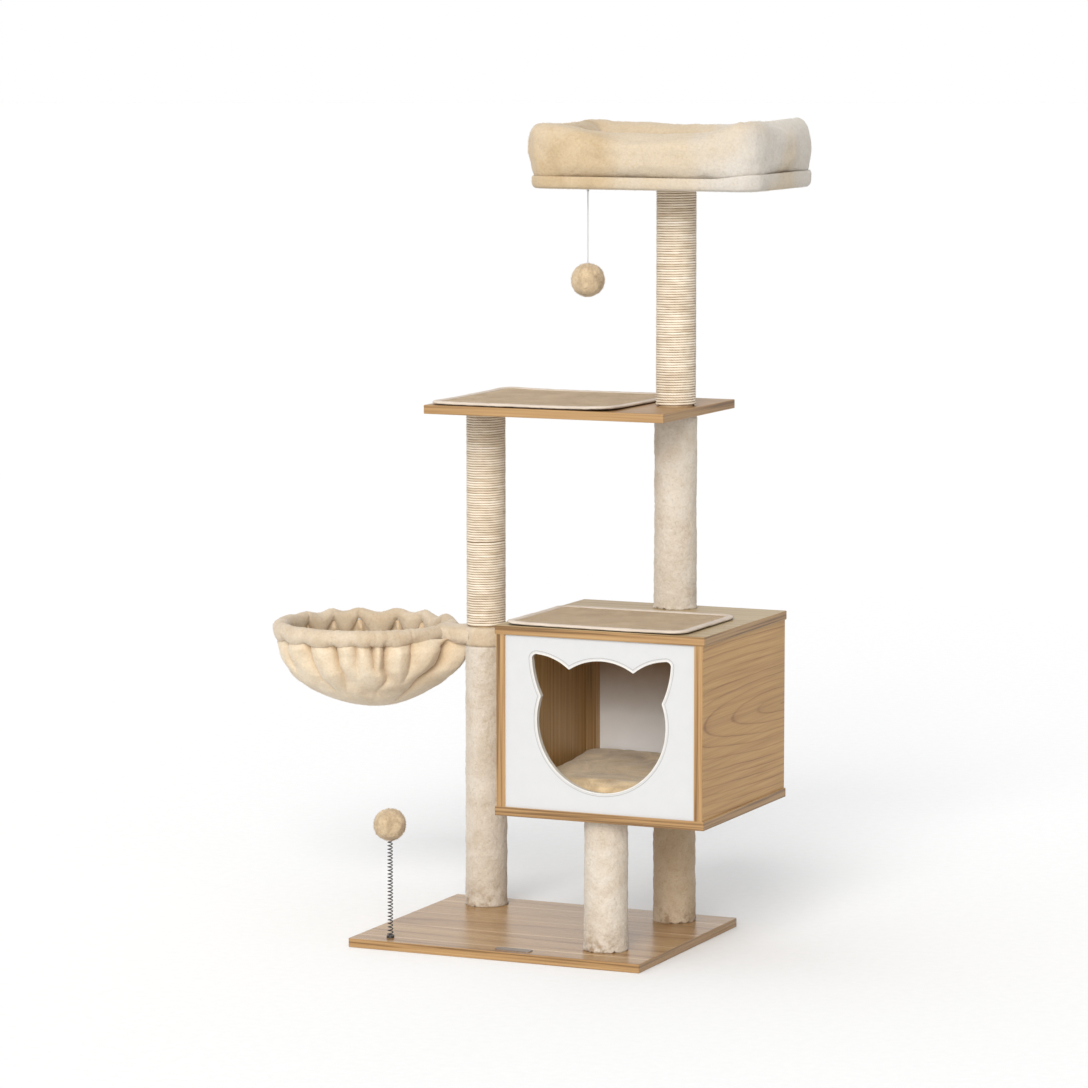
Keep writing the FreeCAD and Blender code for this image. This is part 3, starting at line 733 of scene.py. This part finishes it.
# ---- Scratch mats on the house and the platform ----
# Flat-woven sisal, about 4 mm thick, bound with a cotton tape stitched along its inner edge.
# They only lie on the boards, so their edges and corners curl up a little.
def rounded_edge(x0, x1, y0, y1, corner, count):
    """Points round a rectangle with round corners, evenly spaced, and their outward directions."""
    straight_x, straight_y = x1 - x0 - 2 * corner, y1 - y0 - 2 * corner
    quarter = math.pi * corner / 2
    sides = [straight_x, quarter, straight_y, quarter, straight_x, quarter, straight_y, quarter]
    starts = np.concatenate([[0], np.cumsum(sides)])
    at = np.linspace(0, starts[-1], count, endpoint=False)
    which = np.clip(np.searchsorted(starts, at, side="right") - 1, 0, 7)
    left = at - starts[which]
    way = np.where(which % 2 == 0, which // 2 * math.pi / 2, which // 2 * math.pi / 2 + left / corner)
    out = np.stack([np.sin(way), -np.cos(way)], -1)
    ahead = np.stack([np.cos(way), np.sin(way)], -1)
    centres = np.array([(x0 + corner, y0 + corner), (x1 - corner, y0 + corner),
                        (x1 - corner, y1 - corner), (x0 + corner, y1 - corner)])
    centre = np.where((which % 2 == 0)[:, None], centres[which // 2], centres[(which // 2 + 1) % 4])
    spot = centre + corner * out + np.where((which % 2 == 0)[:, None], ahead * left[:, None], 0.0)
    return spot, out


def woven_sisal():
    look = Look("woven_sisal", 0.88, Specular_IOR_Level=0.15)
    x, y = look.split(look.place)[0], look.split(look.place)[1]
    warp = look.sum("SINE", look.sum("MULTIPLY", x, 2 * math.pi / 0.0068))
    weft = look.sum("SINE", look.sum("MULTIPLY", y, 2 * math.pi / 0.0052))
    weave = look.sum("MULTIPLY_ADD", look.sum("MULTIPLY", warp, weft), 0.5, 0.5)
    fibre = look.noise(look.stretch((350, 1400, 1)), 1.0, 3.0, 0.65)
    cloudy = look.noise(look.place, 22.0, 4.0, 0.6)
    tint = look.ramp(cloudy, (0.30, (0.49, 0.385, 0.268)), (0.70, (0.61, 0.49, 0.350)))
    shade = look.times(look.ramp(weave, (0.20, (0.34, 0.29, 0.24)), (0.62, (1.20, 1.19, 1.18))),
                       look.ramp(fibre, (0.3, 0.80), (0.7, 1.1)))
    return look.paint(look.times(tint, shade), None, ((weave, 0.0012), (fibre, 0.0003)))


def cotton_tape():
    look = Look("cotton_tape", 0.85, Sheen_Weight=0.2)
    threads = look.noise(look.stretch((1500, 1500, 300)), 1.0, 2.0)
    soil = look.noise(look.place, 30.0, 3.0)
    color = look.ramp(soil, (0.3, (0.50, 0.42, 0.34)), (0.7, (0.58, 0.50, 0.42)))
    return look.paint(look.times(color, look.ramp(threads, (0.3, 0.88), (0.7, 1.03))),
                      None, ((threads, 0.0002),))


weave_look, tape_look = woven_sisal(), cotton_tape()
TAPE_W, MAT_THICK = 0.013, 0.0040
STITCH_IN, STITCH_UP, STITCH_STEP, STITCH_LONG = 0.0091, 0.0051, 0.0034, 0.0022


def stitches(name, line, height, body):
    """Short lock stitches every 3.4 mm along a line on the tape."""
    verts, faces = [], []
    gaps = np.linalg.norm(np.roll(line, -1, 0) - line, axis=1)
    total = gaps.sum()
    reached = np.concatenate([[0], np.cumsum(gaps)])[:-1]
    marks = np.interp(np.arange(0, total, STITCH_STEP), reached, np.arange(len(line)))
    for mark in marks:
        i = int(mark)
        a = line[i] + (line[(i + 1) % len(line)] - line[i]) * (mark - i)
        ahead = line[(i + 1) % len(line)] - line[i]
        ahead = ahead / np.linalg.norm(ahead)
        side = np.array([-ahead[1], ahead[0]]) * 0.0003
        b = a + ahead * STITCH_LONG
        z = float(height(a)) + 0.0001
        at = len(verts)
        verts += [(*(a - side), z), (*(b - side), z), (*(b + side), z), (*(a + side), z),
                  (*((a + b) / 2 - side), z + 0.0004), (*((a + b) / 2 + side), z + 0.0004)]
        faces += [(at, at + 4, at + 5, at + 3), (at + 4, at + 1, at + 2, at + 5)]
    mesh = bpy.data.meshes.new(name)
    mesh.from_pydata(verts, [], faces)
    thread = new_object(name, mesh, tape_look)
    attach(thread, body)


def scratch_mat(name, limits, z0, lifts, body):
    """limits are the mat's x and y ends; lifts are how far its front left, front right
    and back corners curl up."""
    x0, x1, y0, y1 = limits
    cx, cy, hx, hy = (x0 + x1) / 2, (y0 + y1) / 2, (x1 - x0) / 2, (y1 - y0) / 2

    def curl(p):
        """How far the mat stands off the board at each point."""
        u, v = (p[..., 0] - cx) / hx, (p[..., 1] - cy) / hy
        near = np.clip((np.sqrt(u ** 4 + v ** 4) - 0.55) / 0.75, 0, 1) ** 1.6
        wave = 0.5 + 0.5 * rumple(np.stack([p[..., 0], p[..., 1], 0 * u], -1), 0.10, 9)
        front_left, front_right, back = lifts
        side = 0.5 - 0.5 * np.clip(u, -1, 1)
        size = np.where(v < 0, front_left * side + front_right * (1 - side), back)
        return near * size * (0.55 + 0.45 * wave)

    edge, out = rounded_edge(x0, x1, y0, y1, 0.028, 300)
    inner_edge = edge - out * (TAPE_W - 0.003)
    share = np.linspace(0, 1, 44)[None, :, None]
    flat = np.array([cx, cy]) * (1 - share) + inner_edge[:, None] * share
    top = z0 + MAT_THICK + curl(flat)
    under = top - MAT_THICK + 0.0004
    surface = np.concatenate([flat, top[..., None]], -1)
    below = np.concatenate([flat, under[..., None]], -1)[:, ::-1]
    mat = grid_skin(name, np.concatenate([surface, below], 1), weave_look, wrap_u=True)
    across = np.array([(-TAPE_W, 0.0041), (-TAPE_W + 0.0006, 0.0050), (-0.0095, 0.0052), (-0.0088, 0.0049),
                       (-0.0080, 0.0054), (-0.0050, 0.0057), (-0.0020, 0.0050), (-0.0004, 0.0036),
                       (0.0, 0.0026), (-0.0006, 0.0012), (-0.0030, 0.0004), (-0.0125, 0.0003)])
    ring = edge[:, None] + out[:, None] * across[None, :, :1]
    high = z0 + curl(ring) + across[None, :, 1] + 0.0003 * rumple(
        np.concatenate([ring, 0 * ring[..., :1]], -1), 0.006, 3)
    tape = grid_skin(name + "_tape", np.concatenate([ring, high[..., None]], -1), tape_look,
                     wrap_u=True, wrap_v=True)
    stand_in(mat, body, "woven_sisal", body)
    stand_in(tape, body, "cloth_binding", body + "_binding")
    stitches(name + "_stitching", edge - out * STITCH_IN, lambda p: z0 + curl(p) + STITCH_UP, body)


scratch_mat("house_scratch_mat", limits=(0.0, 0.325, -0.174, 0.066), z0=0.5543,
            lifts=(0.0025, 0.0030, 0.0015), body="house_mat")
scratch_mat("platform_scratch_mat", limits=(-0.217, 0.120, -0.003, 0.311), z0=0.8973,
            lifts=(0.0015, 0.0045, 0.003), body="platform_mat")


# ---- Stuffed pieces ----
# Bed bolster, bed pad and house cushion: plush covers over soft filling, swelled as cloth
# from their plain solids so that sides round out between the corners.
def apply_all(obj):
    graph = bpy.context.evaluated_depsgraph_get()
    done = bpy.data.meshes.new_from_object(obj.evaluated_get(graph))
    obj.modifiers.clear()
    obj.data = done


def vertex_arrays(obj):
    at = np.empty(len(obj.data.vertices) * 3)
    obj.data.vertices.foreach_get("co", at)
    out = np.empty(len(obj.data.vertices) * 3)
    obj.data.vertices.foreach_get("normal", out)
    return at.reshape(-1, 3), out.reshape(-1, 3)


def set_points(obj, at):
    obj.data.vertices.foreach_set("co", np.ascontiguousarray(at).reshape(-1))
    obj.data.update()


PRESSURE, CLOTH_STEPS = 4.0, 20


def swell(name, mesh, mat, voxel, shrink, cap):
    """A closed mesh remeshed as cloth and blown up a little, no point further than cap."""
    mesh.name = name
    obj = new_object(name, mesh, mat)
    remesh = obj.modifiers.new("skin", "REMESH")
    remesh.mode, remesh.voxel_size = "VOXEL", voxel
    apply_all(obj)
    at, out = vertex_arrays(obj)
    set_points(obj, at - out * shrink)
    start, _ = vertex_arrays(obj)
    cloth = obj.modifiers.new("cloth", "CLOTH")
    cloth.settings.use_pressure = True
    cloth.settings.uniform_pressure_force = PRESSURE
    cloth.settings.quality = 4
    cloth.settings.mass = 0.25
    cloth.settings.tension_stiffness = 18
    cloth.settings.compression_stiffness = 18
    cloth.settings.effector_weights.gravity = 0.0
    for number in range(1, CLOTH_STEPS + 1):
        scene.frame_set(number)
    graph = bpy.context.evaluated_depsgraph_get()
    moved = np.empty(len(obj.data.vertices) * 3)
    obj.evaluated_get(graph).data.vertices.foreach_get("co", moved)
    obj.modifiers.clear()
    step = moved.reshape(-1, 3) - start
    size = np.linalg.norm(step, axis=1, keepdims=True)
    step = step * np.minimum(1, cap / np.maximum(size, 1e-9))
    set_points(obj, start + step)
    scene.frame_set(1)
    finer = obj.modifiers.new("finer", "SUBSURF")
    finer.levels = finer.render_levels = 1
    apply_all(obj)
    obj.data.polygons.foreach_set("use_smooth", [True] * len(obj.data.polygons))
    return obj


def fitted(at, low, high):
    """The points stretched so that they just fill the box from low to high."""
    low0, high0 = at.min(0), at.max(0)
    return np.array(low) + (at - low0) / (high0 - low0) * (np.array(high) - np.array(low))


# ---- Bed ----
# A plush-covered board screwed to the tall post carries a stuffed bolster, sewn on round its
# edge with a deep seam, and a loose floor pad. The front of the bolster sags in its middle.
BED_X, BED_Y, BOLSTER_Z0, BOLSTER_TOP = 0.160, 0.150, 1.285, 1.375
BOLSTER_X, BOLSTER_Y = 0.220, 0.147
bed_cloth = plush("bed_plush", light=(0.495, 0.385, 0.250), dark=(0.42, 0.312, 0.185),
                  lump=0.026, pile=0.0020, depth=0.0006, specks=0.95,
                  brushed=((0.49, (0.520, 0.435, 0.325)), (0.70, (0.515, 0.478, 0.430))))

ROLL_W, ROLL_H, BED_CORNER = 0.060, 0.090, 0.048
ROLL_X, ROLL_Y = BOLSTER_X - ROLL_W / 2, BOLSTER_Y - ROLL_W / 2


def seam_rise(x):
    """The cover is pulled up over the board at the right-hand end, so the seam climbs there."""
    share = np.clip((x - 0.290) / 0.080, 0, 1)
    return 0.0070 * share * share * (3 - 2 * share)


def roll_outline(turn):
    """Cross-section of the roll: round on top, squarer where it is sewn to the board's cover."""
    over, up = np.cos(turn), np.sin(turn)
    power = np.where(up > 0, 2 / 2.3, 2 / 5.0)
    return (ROLL_W / 2 * np.sign(over) * np.abs(over) ** power,
            ROLL_H / 2 * np.sign(up) * np.abs(up) ** power)


edge, out = rounded_edge(BED_X - ROLL_X, BED_X + ROLL_X, BED_Y - ROLL_Y, BED_Y + ROLL_Y,
                         BED_CORNER - ROLL_W / 2, 260)
over, up = roll_outline(np.linspace(0, 2 * math.pi, 56, endpoint=False))
ring = edge[:, None] + out[:, None] * over[None, :, None]
high = BOLSTER_Z0 - 0.0006 + ROLL_H / 2 + up[None, :] + 0 * ring[..., 0]
plain_roll = grid_skin("roll", np.concatenate([ring, high[..., None]], -1), bed_cloth,
                       wrap_u=True, wrap_v=True)
bolster = swell("bed_bolster_plush", plain_roll.data.copy(), bed_cloth, voxel=0.006, shrink=0.003, cap=0.006)
bpy.data.objects.remove(plain_roll)
at, out = vertex_arrays(bolster)
at = fitted(at, (BED_X - BOLSTER_X, BED_Y - BOLSTER_Y, BOLSTER_Z0 - 0.0070),
            (BED_X + BOLSTER_X, BED_Y + BOLSTER_Y, BOLSTER_TOP))
# the front sags between its ends, and the cover gathers at the corners
height = np.clip((at[:, 2] - BOLSTER_Z0) / ROLL_H, 0, 1)
front = np.clip((BED_Y - 0.070 - at[:, 1]) / 0.050, 0, 1)
sag = np.clip(np.minimum((at[:, 0] - 0.005) / 0.115, (0.350 - at[:, 0]) / 0.085), 0, 1)
dip = (0.0145 * sag ** 2 * (3 - 2 * sag) + 0.001) * front * height ** 1.3
plan_in = np.abs(at[:, :2] - (BED_X, BED_Y)) / (ROLL_X, ROLL_Y)
to_corner = np.clip(plan_in.min(1) - 0.62, 0, 0.4) / 0.4
gathers = rumple(at * np.array([1.0, 1.0, 0.30]), 0.013, 14) * to_corner
folds = 0.0022 * rumple(at * np.array([0.5, 0.5, 1.3]), 0.030, 12) + 0.0010 * rumple(at, 0.020, 13)
folds = folds + 0.0024 * gathers
fine = 0.0004 * rumple(at, 0.006, 15) + 0.0003 * rumple(at, 0.0032, 16)
at = at + out * (folds * np.clip(height * 4, 0.15, 1) + fine)[:, None]
at[:, 2] -= dip
# the left end is drawn in at its foot, the right end stands a little taller
left_end = np.clip((BED_X - 0.12 - at[:, 0]) / 0.10, 0, 1)
at[:, 0] += left_end * (0.0035 + 0.0100 * np.clip(1 - height * 2.2, 0, 1))
at[:, 2] = np.clip(at[:, 2], BOLSTER_Z0 - 0.0016, BOLSTER_TOP + 0.006)
at[:, 2] += 0.0060 * np.clip((at[:, 0] - 0.200) / 0.150, 0, 1) * height ** 2
at[:, 2] += seam_rise(at[:, 0]) * np.clip(1 - height * 1.6, 0, 1)
set_points(bolster, at)
stand_in(bolster, "stand", "bed_plush", "bed_bolster")
fuzz(bolster, 16000, 0.0030, 0.00016, 61)

# The board's cover: stretched over the edge, turned under and glued, with the bolster's seam on top.
BAND_LEFT, BAND_RIGHT, BAND_DEEP, BAND_CORNER = 0.1990, 0.2125, 0.1395, 0.036
edge, out = rounded_edge(BED_X - BAND_LEFT, BED_X + BAND_RIGHT, BED_Y - BAND_DEEP, BED_Y + BAND_DEEP,
                         BAND_CORNER, 380)
across = np.array([(-0.030, 0.0), (-0.012, 0.0), (-0.004, 0.0006), (0.0004, 0.0035), (0.0022, 0.0080),
                   (0.0026, 0.0130), (0.0024, 0.0184), (0.0010, 0.0212), (-0.0150, 0.0208)])
across = np.stack([np.interp(np.linspace(0, 8, 34), np.arange(9), across[:, k]) for k in (0, 1)], -1)
ring = edge[:, None] + out[:, None] * across[None, :, :1]
high = BED_Z0 + across[None, :, 1] * (1 + seam_rise(ring[..., 0]) / 0.0204)
spots = np.concatenate([ring, high[..., None]], -1)
puff = 0.0011 * rumple(spots * np.array([1, 1, 0.3]), 0.020, 17) + 0.0004 * rumple(spots, 0.005, 18)
spots[..., :2] += out[:, None] * np.where(across[None, :, :1] > -0.006, puff[..., None], 0)
centre = np.broadcast_to(np.array([BED_X, BED_Y, BED_Z0]), spots[:, :1].shape)
reach = np.linspace(0.25, 0.999, 12)[None, :, None]
under = np.concatenate([centre * (1 - reach) + spots[:, :1] * reach], 1)
under[..., 2] = BED_Z0 + 0.0002 * rumple(under, 0.03, 19)
bed_band = grid_skin("bed_band_plush", np.concatenate([under, spots], 1), bed_cloth, wrap_u=True)
stand_in(bed_band, "stand", "bed_plush", "bed_cover")
fuzz(bed_band, 5000, 0.0028, 0.00016, 62)

# The loose pad in the well, flat where it lies on the board.
PAD_TOP = 1.3125
bed_pad = swell("bed_pad_plush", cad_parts["bed_pad"].data.copy(), bed_cloth,
                voxel=0.006, shrink=0.003, cap=0.006)
at, out = vertex_arrays(bed_pad)
at = at + out * (0.0012 * rumple(at, 0.030, 22) + 0.0004 * rumple(at, 0.006, 23))[:, None]
at[:, 2] = np.clip(at[:, 2], BOLSTER_Z0 + 0.0006, PAD_TOP)
set_points(bed_pad, at)
stand_in(bed_pad, "bed_pad", "bed_plush", "bed_pad")


# ---- House cushion ----
# A loose plush cushion that fills the floor, in a darker mottled plush.
CUSHION_FOOT, CUSHION_TOP = 0.2515, 0.2995
cushion_cloth = plush("cushion_plush", light=(0.64, 0.48, 0.285), dark=(0.33, 0.228, 0.132),
                      lump=0.030, pile=0.0022, depth=0.0014)
cushion = swell("house_cushion_plush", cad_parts["house_cushion"].data.copy(), cushion_cloth,
                voxel=0.0065, shrink=0.004, cap=0.008)
at, out = vertex_arrays(cushion)
upper = np.clip((at[:, 2] - 0.265) / 0.02, 0, 1)
at = at + out * (0.0030 * rumple(at, 0.050, 32) * upper + 0.0012 * rumple(at, 0.016, 33))[:, None]
at[:, 2] = np.clip(at[:, 2], CUSHION_FOOT, CUSHION_TOP)
at[:, 2] += 0.0095 * upper * np.clip((at[:, 1] + 0.05) / 0.15, 0, 1)
set_points(cushion, at)
stand_in(cushion, "house_cushion", "cushion_plush", "house_cushion")


# ---- Hammock ----
# A plush basket hung from a padded steel ring. The cloth is gathered on to the ring, so the
# roll bulges between the gathers and deep folds run down the basket from each of them.
RING_X, RING_Y, RING_Z, RING_R = -0.4115, 0.1545, 0.487, 0.150
hammock_cloth = plush("hammock_plush", light=(0.545, 0.455, 0.345), dark=(0.475, 0.375, 0.26),
                      lump=0.020, pile=0.0018, depth=0.0005, specks=0.94)
# The basket cloth takes a warmer, darker colour deep in its creases, as painted shade.
basket_cloth = plush("hammock_basket_plush", light=(0.66, 0.57, 0.44), dark=(0.58, 0.475, 0.34),
                     lump=0.020, pile=0.0018, depth=0.0005, specks=0.94, crease_shade=(0.57, 0.425, 0.265))
# each gather: degrees round the ring from the post's side, crease depth, how far down it runs
# as a share of the basket, and how many degrees it wanders on the way
GATHERS = ((-176, 0.6, 0.50, 3), (-152, 0.6, 0.42, 6), (-128, 0.8, 0.40, 14), (-107, 0.9, 0.66, 16),
           (-86, 1.1, 0.72, 6), (-71, 0.8, 0.36, -8), (-60, 1.2, 0.34, 2), (-51, 1.2, 0.66, -12),
           (-33, 0.8, 0.42, -16), (-9, 1.5, 1.05, -38), (20, 0.8, 0.60, 0), (46, 0.9, 0.50, 4),
           (73, 1.0, 0.50, 3), (94, 1.1, 0.55, -4), (121, 1.0, 0.50, 3), (140, 0.6, 0.35, 0),
           (162, 0.8, 0.50, -3))
GATHER_AT = np.radians([row[0] for row in GATHERS])


def wrapped(angle):
    return (angle + math.pi) % (2 * math.pi) - math.pi


def creases(turn, down, sharp, broad):
    """Depth of the folds that run down from the gathers: a sharp line in a broad hollow."""
    deep = 0.0
    for at, strength, run, lean in GATHERS:
        off = np.abs(wrapped(turn - np.radians(at + lean * down ** 1.2)))
        fade = np.clip(1 - down / run, 0, 1) ** 0.7
        line = 0.55 * np.exp(-(off / (sharp + 0.045 * down)) ** 1.5)
        trough = 0.45 * np.exp(-(off / (broad + 0.10 * down)) ** 2)
        deep = np.maximum(deep, strength * fade * (line + trough))
    return deep


def puffs(turn):
    """0 at each gather, rising round to 1 midway to the next, lower where they are close."""
    closed = np.concatenate([GATHER_AT, [GATHER_AT[0] + 2 * math.pi]])
    where = (turn - GATHER_AT[0]) % (2 * math.pi) + GATHER_AT[0]
    slot = np.clip(np.searchsorted(closed, where, side="right") - 1, 0, len(GATHERS) - 1)
    gap = closed[slot + 1] - closed[slot]
    share = (where - closed[slot]) / gap
    return (0.5 - 0.5 * np.cos(2 * math.pi * share)) ** 0.75 * np.clip(gap / math.radians(25), 0.35, 1.0)


# The rim: cloth padded round the ring, drawn tight at each gather and full between them.
turn = np.linspace(-math.pi, math.pi, 620, endpoint=False)[:, None]
around = np.linspace(0, 2 * math.pi, 44, endpoint=False)[None, :]
turn2, around2 = np.broadcast_arrays(turn, around)
bulge = puffs(turn2)
back = np.clip(np.sin(turn2) * 1.5, 0, 1) ** 0.8
under = np.clip(-np.sin(around2), 0, 1)
tube_r = 0.0136 + 0.0008 * bulge - 0.0010 * creases(turn2, 0.0, 0.025, 0.05)
tube_r = tube_r + back * (-0.0026 + 0.0050 * bulge)
spots = np.stack([np.cos(turn2) * RING_R, np.sin(turn2) * RING_R, np.sin(around2) * 0.013], -1)
pinched = creases(turn2, 0.0, 0.06, 0.11)
tube_r = tube_r + 0.0008 * rumple(spots, 0.016, 41) + 0.0004 * rumple(spots, 0.005, 42)
tube_r = tube_r + 0.0011 * pinched * rumple(spots * np.array([1.0, 1.0, 0.3]), 0.0042, 48)
reach = RING_R + tube_r * np.cos(around2) + 0.0012 * rumple(spots, 0.05, 43)
lift = (0.0010 - 0.0020 * bulge) + back * (0.0052 - 0.0130 * bulge)
droop = under * bulge * (0.0056 + 0.0120 * back)
rim = np.stack([RING_X + reach * np.cos(turn2), RING_Y + reach * np.sin(turn2),
                RING_Z + lift + tube_r * 1.02 * np.sin(around2) - droop], -1)
hammock_rim = grid_skin("hammock_rim_plush", rim, hammock_cloth, wrap_u=True, wrap_v=True)
stand_in(hammock_rim, "stand", "hammock_plush", "hammock_rim")
fuzz(hammock_rim, 5000, 0.0026, 0.00015, 71)

# The basket: a bowl of cloth with folds from the gathers, softer ones lower down.
BASKET_DEEP = 0.1275
down = np.linspace(0, 1, 130)[None, :]
turn2, down2 = np.broadcast_arrays(turn, down)
angle = down2 * math.pi / 2
share, drop = np.cos(angle) ** 1.02, BASKET_DEEP * np.sin(angle) ** 1.02
at3 = np.stack([share * np.cos(turn2) * RING_R, share * np.sin(turn2) * RING_R, -drop], -1)
slack = np.clip(down2 / 0.06, 0, 1) * np.clip(1.08 - down2, 0, 1) ** 0.7
wavy = turn2 + 0.13 * rumple(at3 * np.array([0.6, 0.6, 1.6]), 0.040, 44) * np.clip(down2 * 1.6, 0, 1)
soft = 0.0070 * rumple(at3 * np.array([1.0, 1.0, 0.45]), 0.036, 45) + 0.0045 * rumple(at3, 0.024, 49)
crease = creases(wavy, down2, 0.026, 0.105)
fold = 0.0075 + soft - 0.0250 * crease
reach = 0.1485 * share + 0.0075 * np.clip(down2 / 0.10, 0, 1) * share
reach = reach + slack * fold * np.clip(share * 1.8, 0, 1) + 0.0008 * rumple(at3, 0.010, 46)
# towards the post the cloth is sewn on under the sleeve and runs straight down from there
to_sleeve = np.interp(drop, (0.0, 0.040, 0.055, 0.070, 0.092, 0.120),
                      (0.036, 0.033, 0.026, 0.014, 0.005, 0.0))
reach = reach + to_sleeve * np.clip(1 - np.abs(wrapped(turn2 + 0.05)) / 0.65, 0, 1) ** 1.4
shift = 0.009 * np.clip(down2 / 0.3, 0, 1) + 0.017 * down2 ** 4
basket = np.stack([RING_X + reach * np.cos(turn2) + shift, RING_Y + reach * np.sin(turn2),
                   RING_Z - 0.006 - drop + 0.0020 * rumple(at3, 0.035, 47) * slack], -1)
# How deep each point lies in a crease, for the basket cloth's painted shade.
crease_shade_mask = np.stack([np.clip(crease * (1 - down2), 0, 1), down2], -1)
hammock_basket = grid_skin("hammock_basket_plush", basket, basket_cloth, wrap_u=True, uv=crease_shade_mask)
lining = hammock_basket.modifiers.new("thickness", "SOLIDIFY")
lining.thickness = 0.0026
lining.offset = 0.0
apply_all(hammock_basket)
stand_in(hammock_basket, "stand", "hammock_plush", "hammock_basket")
fuzz(hammock_basket, 12000, 0.0026, 0.00015, 72)

# The sleeve: a sewn plush cover over the clamped plate, here the collar round the post.
SLEEVE_H, SLEEVE_R, ARM_Z = 0.033, 0.0385, 0.4866
turn = np.linspace(0, 2 * math.pi, 150, endpoint=False)[None, :]
across = np.linspace(0, 1, 34)[:, None]
turn2, across2 = np.broadcast_arrays(turn, across)
puffed = SLEEVE_R - 0.0045 * np.abs(2 * across2 - 1) ** 7
spots = np.stack([np.cos(turn2) * 0.04, np.sin(turn2) * 0.04, across2 * SLEEVE_H], -1)
puffed = puffed + 0.0007 * rumple(spots, 0.011, 51) + 0.0004 * rumple(spots, 0.004, 52)
collar = np.stack([LEFT_POST[0] + puffed * np.cos(turn2), LEFT_POST[1] + puffed * np.sin(turn2),
                   SLEEVE_Z0 + SLEEVE_H * across2 + 0.0007 * rumple(spots, 0.015, 53)], -1)
lips = collar[[0, -1]].copy()
lips[..., 0] = LEFT_POST[0] + 0.0305 * np.cos(turn)
lips[..., 1] = LEFT_POST[1] + 0.0305 * np.sin(turn)
sleeve = grid_skin("hammock_sleeve_plush", np.concatenate([lips[:1], collar, lips[1:]]), hammock_cloth,
                   wrap_v=True)
stand_in(sleeve, "stand", "hammock_plush", "hammock_sleeve")
fuzz(sleeve, 2200, 0.0026, 0.00016, 73)

# The arm: the part of that cover between the rim and the post, drawn in at its middle.
ARM_X0, ARM_X1 = RING_X + RING_R - 0.004, LEFT_POST[0] - 0.018
along = np.linspace(0, 1, 56)[:, None]
turn2, along2 = np.broadcast_arrays(turn, along)
waist = np.sin(math.pi * np.clip(along2 * 1.5, 0, 1))
half_w, half_h = 0.0345 - 0.0050 * waist, 0.0166 - 0.0012 * waist
spots = np.stack([along2 * 0.08, np.cos(turn2) * 0.03, np.sin(turn2) * 0.016], -1)
wobble = 1 + 0.030 * rumple(spots, 0.016, 54) + 0.02 * rumple(spots, 0.005, 55)
over, up = np.cos(turn2), np.sin(turn2)
arm = np.stack([ARM_X0 + along2 * (ARM_X1 - ARM_X0),
                RING_Y + half_w * wobble * np.sign(over) * np.abs(over) ** 0.70,
                ARM_Z + half_h * wobble * np.sign(up) * np.abs(up) ** 0.70], -1)
arm_cover = grid_skin("hammock_arm_plush", arm, hammock_cloth, wrap_v=True)
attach(arm_cover, "stand")
fuzz(arm_cover, 1600, 0.0026, 0.00016, 74)


# ---- Spring toy ----
# A plush ball on an open-wound dark steel spring, screwed into the base board's left front.
# The last turns at the foot are wound wider over the screw.
SPRING_X, SPRING_Y, SPRING_FOOT, SPRING_SPLIT, SPRING_TOP = -0.202, -0.182, 0.0185, 0.095, 0.1815
SPRING_BALL_Z, SPRING_BALL_R = 0.2075, 0.0275


def coil(name, z0, z1, foot):
    pitch, wire = 0.0060, 0.00095
    turns = (z1 - z0) / pitch
    t = np.linspace(0, turns, int(turns * 26))
    phase = 2 * math.pi * (t + z0 / pitch)
    z = z0 + t * pitch
    wide = 0.0037 + (0.0018 * np.exp(-np.clip(z - SPRING_FOOT, 0, 1) / 0.006) if foot else 0.0)
    path = np.stack([SPRING_X + wide * np.cos(phase), SPRING_Y + wide * np.sin(phase), z], -1)
    out = np.stack([np.cos(phase), np.sin(phase), 0 * phase], -1)
    around = np.linspace(0, 2 * math.pi, 7, endpoint=False)
    points = path[:, None] + wire * (np.cos(around)[None, :, None] * out[:, None]
                                     + np.sin(around)[None, :, None] * np.array([0, 0, 1.0]))
    return grid_skin(name, points, wire_look, wrap_v=True)


wire_look = flecked("spring_wire", 0.5, (0.020, 0.018, 0.017), (0.06, 0.056, 0.052), 300.0, 0.00004,
                    shine=(0.45, 0.3), Metallic=0.2)
spring_low = coil("spring_coil_low", SPRING_FOOT, SPRING_SPLIT, True)
spring_high = coil("spring_coil_high", SPRING_SPLIT, SPRING_TOP, False)
for piece, node in ((spring_low, "spring_lower"), (spring_high, "spring_upper")):
    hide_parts(node)
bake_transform(spring_low)
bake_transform(spring_high)
dress("spring_foot", wire_look)
spring_ball = plush_ball("spring_plush_ball", (SPRING_X, SPRING_Y, SPRING_BALL_Z), SPRING_BALL_R, seed=7)
stand_in(spring_ball, "spring_high", "ball_plush", "spring_ball")
fuzz(spring_ball, 2600, 0.0032, 0.00016, 12)
